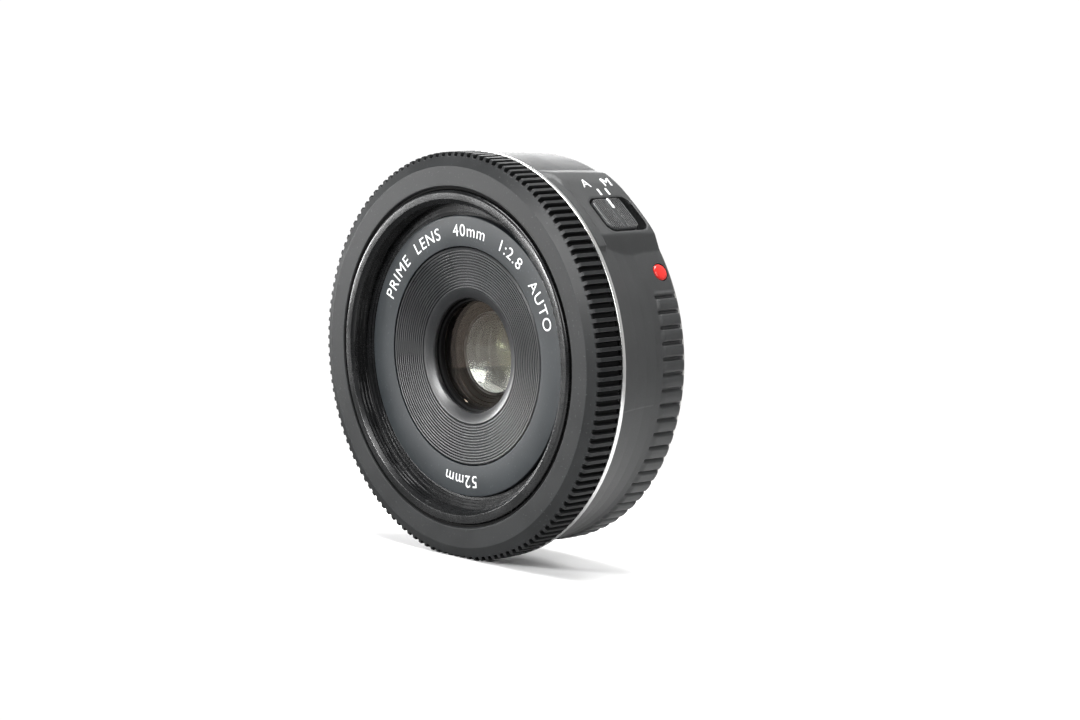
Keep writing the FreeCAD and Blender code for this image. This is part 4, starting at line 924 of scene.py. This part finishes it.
SCREW_R, LOCK_R, LOCK_ANGLE = 28.8, 29.2, 150.0
SCREW_ANGLES = [15.0 + 90.0 * k for k in range(4)]
bayonet = piece("bayonet", mount_mesh(), mount_skin, BODY, ["mount_bayonet"])
holes = [facing_rear(disc("hole", 1.5, [(-0.42, 0), (1.0, 0)]), spot(a, SCREW_R)) for a in SCREW_ANGLES]
holes.append(facing_rear(disc("hole", 1.0, [(-1.45, 0), (1.0, 0)]), spot(LOCK_ANGLE, LOCK_R)))
cut_away(bayonet, *holes)
soften(bayonet.data, 30.0)
screws("flange_screws", [spot(a, SCREW_R, 0.3) for a in SCREW_ANGLES], 1.38, 0.28, (12, 47, 80, 33),
       ["mount_screws"])

CONTACT_R, CONTACT_ANGLE, CONTACT_HALF = 21.3, 180.0, 32.6
CONTACTS, CONTACT_STEP, CONTACT_SCREW_ANGLE = 7, 8.2, 29.5


def arc_plan(half_angle, inner, outer, corner, steps):
    """A rounded bar bent round the axis at the contacts, as (x, z)."""
    half = math.radians(half_angle) * CONTACT_R
    bar = spaced(rectangle(-half, half, inner, outer, corner, steps), 0.5)
    turns = math.radians(CONTACT_ANGLE) + bar[:, 0] / CONTACT_R
    return np.stack([bar[:, 1] * np.sin(turns), bar[:, 1] * np.cos(turns)], 1)


def across_axis(mesh):
    """Stands a mesh made in (x, z, rearward) on the axis."""
    mesh.transform(Matrix(((1, 0, 0, 0), (0, 0, 1, 0), (0, 1, 0, 0), (0, 0, 0, 1))))
    outward(mesh)
    return mesh


block_levels = [(-1.85, 0.0), (4.85, 0.0), (5.02, 0.05), (5.10, 0.18)]
block = across_axis(slab("contact_carrier", arc_plan(CONTACT_HALF, 18.65, 23.5, 0.7, 5), block_levels))
block = piece("contact_carrier", block, inner_black, BODY, ["contact_block"])
pin_angles = [CONTACT_ANGLE + CONTACT_STEP * (k - CONTACTS // 2) for k in range(CONTACTS)]
screw_angles = [CONTACT_ANGLE - CONTACT_SCREW_ANGLE, CONTACT_ANGLE + CONTACT_SCREW_ANGLE]
seats = [facing_rear(disc("seat", 0.98, [(4.75, 0.22), (5.3, 0.0)]), spot(a, CONTACT_R)) for a in pin_angles]
seats += [facing_rear(disc("seat", 1.0, [(4.7, 0.0), (5.3, 0.0)]), spot(a, CONTACT_R)) for a in screw_angles]
cut_away(block, *seats)
soften(block.data, 30.0)
pin_levels = [(-1.8, 0.0), (5.20, 0.0), (5.32, 0.08), (5.38, 0.24), (5.40, 0.45)]
pin_meshes = [facing_rear(disc("pin", 0.72, pin_levels), spot(a, CONTACT_R)) for a in pin_angles]
piece("gold_pins", joined("gold_pins", pin_meshes, 35.0), gold_skin, BODY, ["contact_pins"])
screws("carrier_screws", [spot(a, CONTACT_R, -4.75) for a in screw_angles], 0.85, 0.30, (25, 60),
       ["contact_screws"])

BAFFLE_RINGS, BAFFLE_FIRST_R, BAFFLE_PITCH = 9, 12.2, 1.1
BAFFLE_TOP_D, BAFFLE_FLOOR_D = -3.80, -3.62
baffle_face = [(11.5, BAFFLE_TOP_D)]
for k in range(BAFFLE_RINGS):
    r = BAFFLE_FIRST_R + k * BAFFLE_PITCH
    baffle_face += [(r, BAFFLE_TOP_D), (r + 0.08, BAFFLE_FLOOR_D), (r + 0.5, BAFFLE_FLOOR_D),
                    (r + 0.58, BAFFLE_TOP_D)]
baffle_outline = [(10.8, -3.1), (10.85, -3.4)] + baffle_face + [(23.3, BAFFLE_TOP_D), (23.5, -3.6),
                                                               (23.5, 1.4), (22.7, 1.4), (22.7, -3.1)]
baffle = turned_piece("rear_light_baffle", baffle_outline, 240, 25.0, inner_black, BODY, ["rear_baffle"])
gap_plan = arc_plan(CONTACT_HALF + 0.9, 18.45, 25.0, 0.5, 4)
cut_away(baffle, across_axis(slab("gap_tool", gap_plan, [(-3.0, 0.0), (6.0, 0.0)])))
soften(baffle.data, 25.0)

rear_cell = rounded([(10.65, -2.7), (13.4, -2.7), (13.4, 8.6), (7.4, 8.6), (7.4, 4.25), (6.7, 4.25),
                     (6.7, 3.4), (9.0, 3.4), (9.0, -0.55), (10.65, -0.55)], [0.05, 0.3] + [0.0] * 8, 4)
turned_piece("rear_group_cell", rear_cell, 200, 30.0, cell_skin, UNIT, ["rear_cell"])
lock_outline = rounded([(9.65, -2.9), (9.9, -3.02), (10.6, -3.02), (10.6, -2.4), (9.6, -1.65)], 0.05, 3)
lock_ring = turned_piece("rear_lock_ring", lock_outline, 160, 30.0, cell_skin, UNIT, ["rear_retainer"])
notch_levels = [(2.55, 0), (4.0, 0)]
notch_plans = [rectangle(-0.45, 0.45, z - 1.0, z + 1.0, 0.05, 2) for z in (-10.1, 10.1)]
cut_away(lock_ring, *[across_axis(slab("notch", plan, notch_levels)) for plan in notch_plans])
soften(lock_ring.data, 30.0)

# ---------------------------------------------------------------- floor, light and camera

FLOOR_REACH = 6.0
GRIP_R, GRIP_D, HEEL_R, HEEL_D = 34.1, 16.75, 32.5, 1.4
GLOW_SEEN, GLOW_ROOM, GLOW_DARK = 1.05, 0.45, 0.03
MIRRORED_X, MIRRORED_Y = -0.72, -0.68


def floor_look():
    """White to the camera and fading into the backdrop. To everything else it is painted light: grey under
    the lens to bounce light onto it, a painted dark reflection just in front, where the front glass
    mirrors the camera's side, and a glow that lights the lens further off on the left and behind."""
    n = Look("floor_look")
    seen = n.add("ShaderNodeLightPath").outputs["Is Camera Ray"]
    place = n.place()
    x, y, _ = n.axes(place)
    far = n.add("ShaderNodeVectorMath", {0: place}, operation="LENGTH").outputs["Value"]
    ahead = n.math("ADD", n.math("MULTIPLY", x, MIRRORED_X), n.math("MULTIPLY", y, MIRRORED_Y))
    # painted bounce light and painted reflection: to rays other than the camera's the floor is grey under and
    # behind the lens and dark in front, where the front glass mirrors it
    n.give("Base Color", n.mix(seen, n.span(ahead, -0.02, 0.05, 0.55, 0.03), rgba([0.9] * 3)))
    n.give("Specular IOR Level", 0.1)
    n.give("Roughness", n.span(n.noise(30.0), 0.3, 0.7, 0.5, 0.6))
    # painted light: to rays other than the camera's the floor glows on the left and behind, lighting the
    # lens, and only dimly elsewhere
    left = n.span(n.math("DIVIDE", x, far), -0.45, -0.25, GLOW_ROOM, GLOW_DARK)
    room = n.math("MAXIMUM", left, n.span(y, 0.0, 0.06, GLOW_DARK, GLOW_ROOM))
    glow = n.add("ShaderNodeEmission", {"Color": WHITE, "Strength": n.span(seen, 0.0, 1.0, room, GLOW_SEEN)})
    # painted reflection: a sharp edge where the glow begins, which the glass mirrors as a horizon
    crisp = n.math("MULTIPLY", n.span(far, 0.146, 0.152, 0.0, 1.0), n.math("SUBTRACT", 1.0, seen))
    soft = n.math("MULTIPLY", n.span(far, 0.05, 0.18, 0.0, 1.0), seen)
    n.blend(n.math("ADD", crisp, soft), glow)
    return n.material


def add_floor():
    """The table, tilted to touch the focus ring and the casing's rear edge."""
    tilt = (GRIP_R - HEEL_R) / (GRIP_D - HEEL_D)
    height = -GRIP_R - GRIP_D * tilt - 0.03
    mesh = bpy.data.meshes.new("floor")
    corners = [(x * FLOOR_REACH, y * FLOOR_REACH, height * MM - y * FLOOR_REACH * tilt)
               for x, y in ((-1, -1), (1, -1), (1, 1), (-1, 1))]
    mesh.from_pydata(corners, [], [(0, 1, 2, 3)])
    mesh.materials.append(floor_look())
    return add_object("floor", mesh)


def light_room():
    """White to the camera. To everything else it is a dim room, brighter behind the lens and low on the
    left."""
    world = bpy.data.worlds.new("studio")
    bpy.context.scene.world = world
    world.use_nodes = True
    n = Nodes(world.node_tree)
    backdrop = n.tree.nodes["Background"]
    n.fill(backdrop.inputs["Color"], WHITE)
    n.fill(backdrop.inputs["Strength"], GLOW_SEEN)
    x, y, z = n.axes(n.place("Generated"))
    low_left = n.math("MULTIPLY", n.span(z, 0.10, 0.30, GLOW_ROOM, 0.0), n.span(x, -0.45, -0.25, 1.0, 0.0))
    strength = n.math("ADD", n.span(y, -0.1, 0.7, 0.03, 0.55), low_left)
    room = n.add("ShaderNodeBackground", {"Color": WHITE, "Strength": strength})
    seen = n.add("ShaderNodeLightPath").outputs["Is Camera Ray"]
    either = n.add("ShaderNodeMixShader", {0: seen, 1: room.outputs[0], 2: backdrop.outputs[0]})
    n.fill(n.tree.nodes["World Output"].inputs[0], either.outputs[0])


def softbox(name, place, aim, width, height, power):
    """A rectangular light, in metres and watts, that the camera doesn't see."""
    light = bpy.data.lights.new(name, "AREA")
    light.shape, light.size, light.size_y, light.energy = "RECTANGLE", width, height, power
    holder = add_object(name, light)
    holder.location = place
    holder.rotation_mode = "QUATERNION"
    holder.rotation_quaternion = (Vector(aim) - Vector(place)).to_track_quat("-Z", "Y")
    holder.visible_camera = False


def add_camera():
    data = bpy.data.cameras.new("camera")
    data.lens, data.sensor_width = 100.0, 36.0
    data.clip_start, data.clip_end = 0.01, 20.0
    camera = add_object("camera", data)
    right, up, back = (0.68383, 0.72954, 0.01198), (-0.10670, 0.08375, 0.99076), (0.72180, -0.67879, 0.13512)
    turn = Matrix((right, up, back)).transposed().to_4x4()
    camera.matrix_world = Matrix.Translation((0.36894, -0.34967, 0.06702)) @ turn
    bpy.context.scene.camera = camera


floor = add_floor()
light_room()
softbox("overhead", (0.0, 0.0, 0.58), (0, 0, 0), 0.45, 0.40, 7.4)
softbox("back_left", (-0.40, 0.38, 0.14), (0, 0, 0), 0.40, 0.20, 1.4)
softbox("key", (-0.07, -0.465, 0.165), (0, -0.01, 0), 0.06, 0.06, 3.0)
softbox("right_fill", (0.50, -0.16, 0.30), (0, 0, 0), 0.30, 0.30, 2.0)
softbox("left_strip", (-0.40, -0.37, 0.085), (0, 0, 0.01), 0.32, 0.08, 0.28)
softbox("low_left", (-0.25, -0.43, 0.01), (0, 0, 0), 0.14, 0.08, 1.8)
softbox("far_left", (-0.46, -0.20, 0.0), (0, 0, 0), 0.14, 0.08, 1.7)
add_camera()
bpy.context.scene.view_settings.view_transform = "Standard"
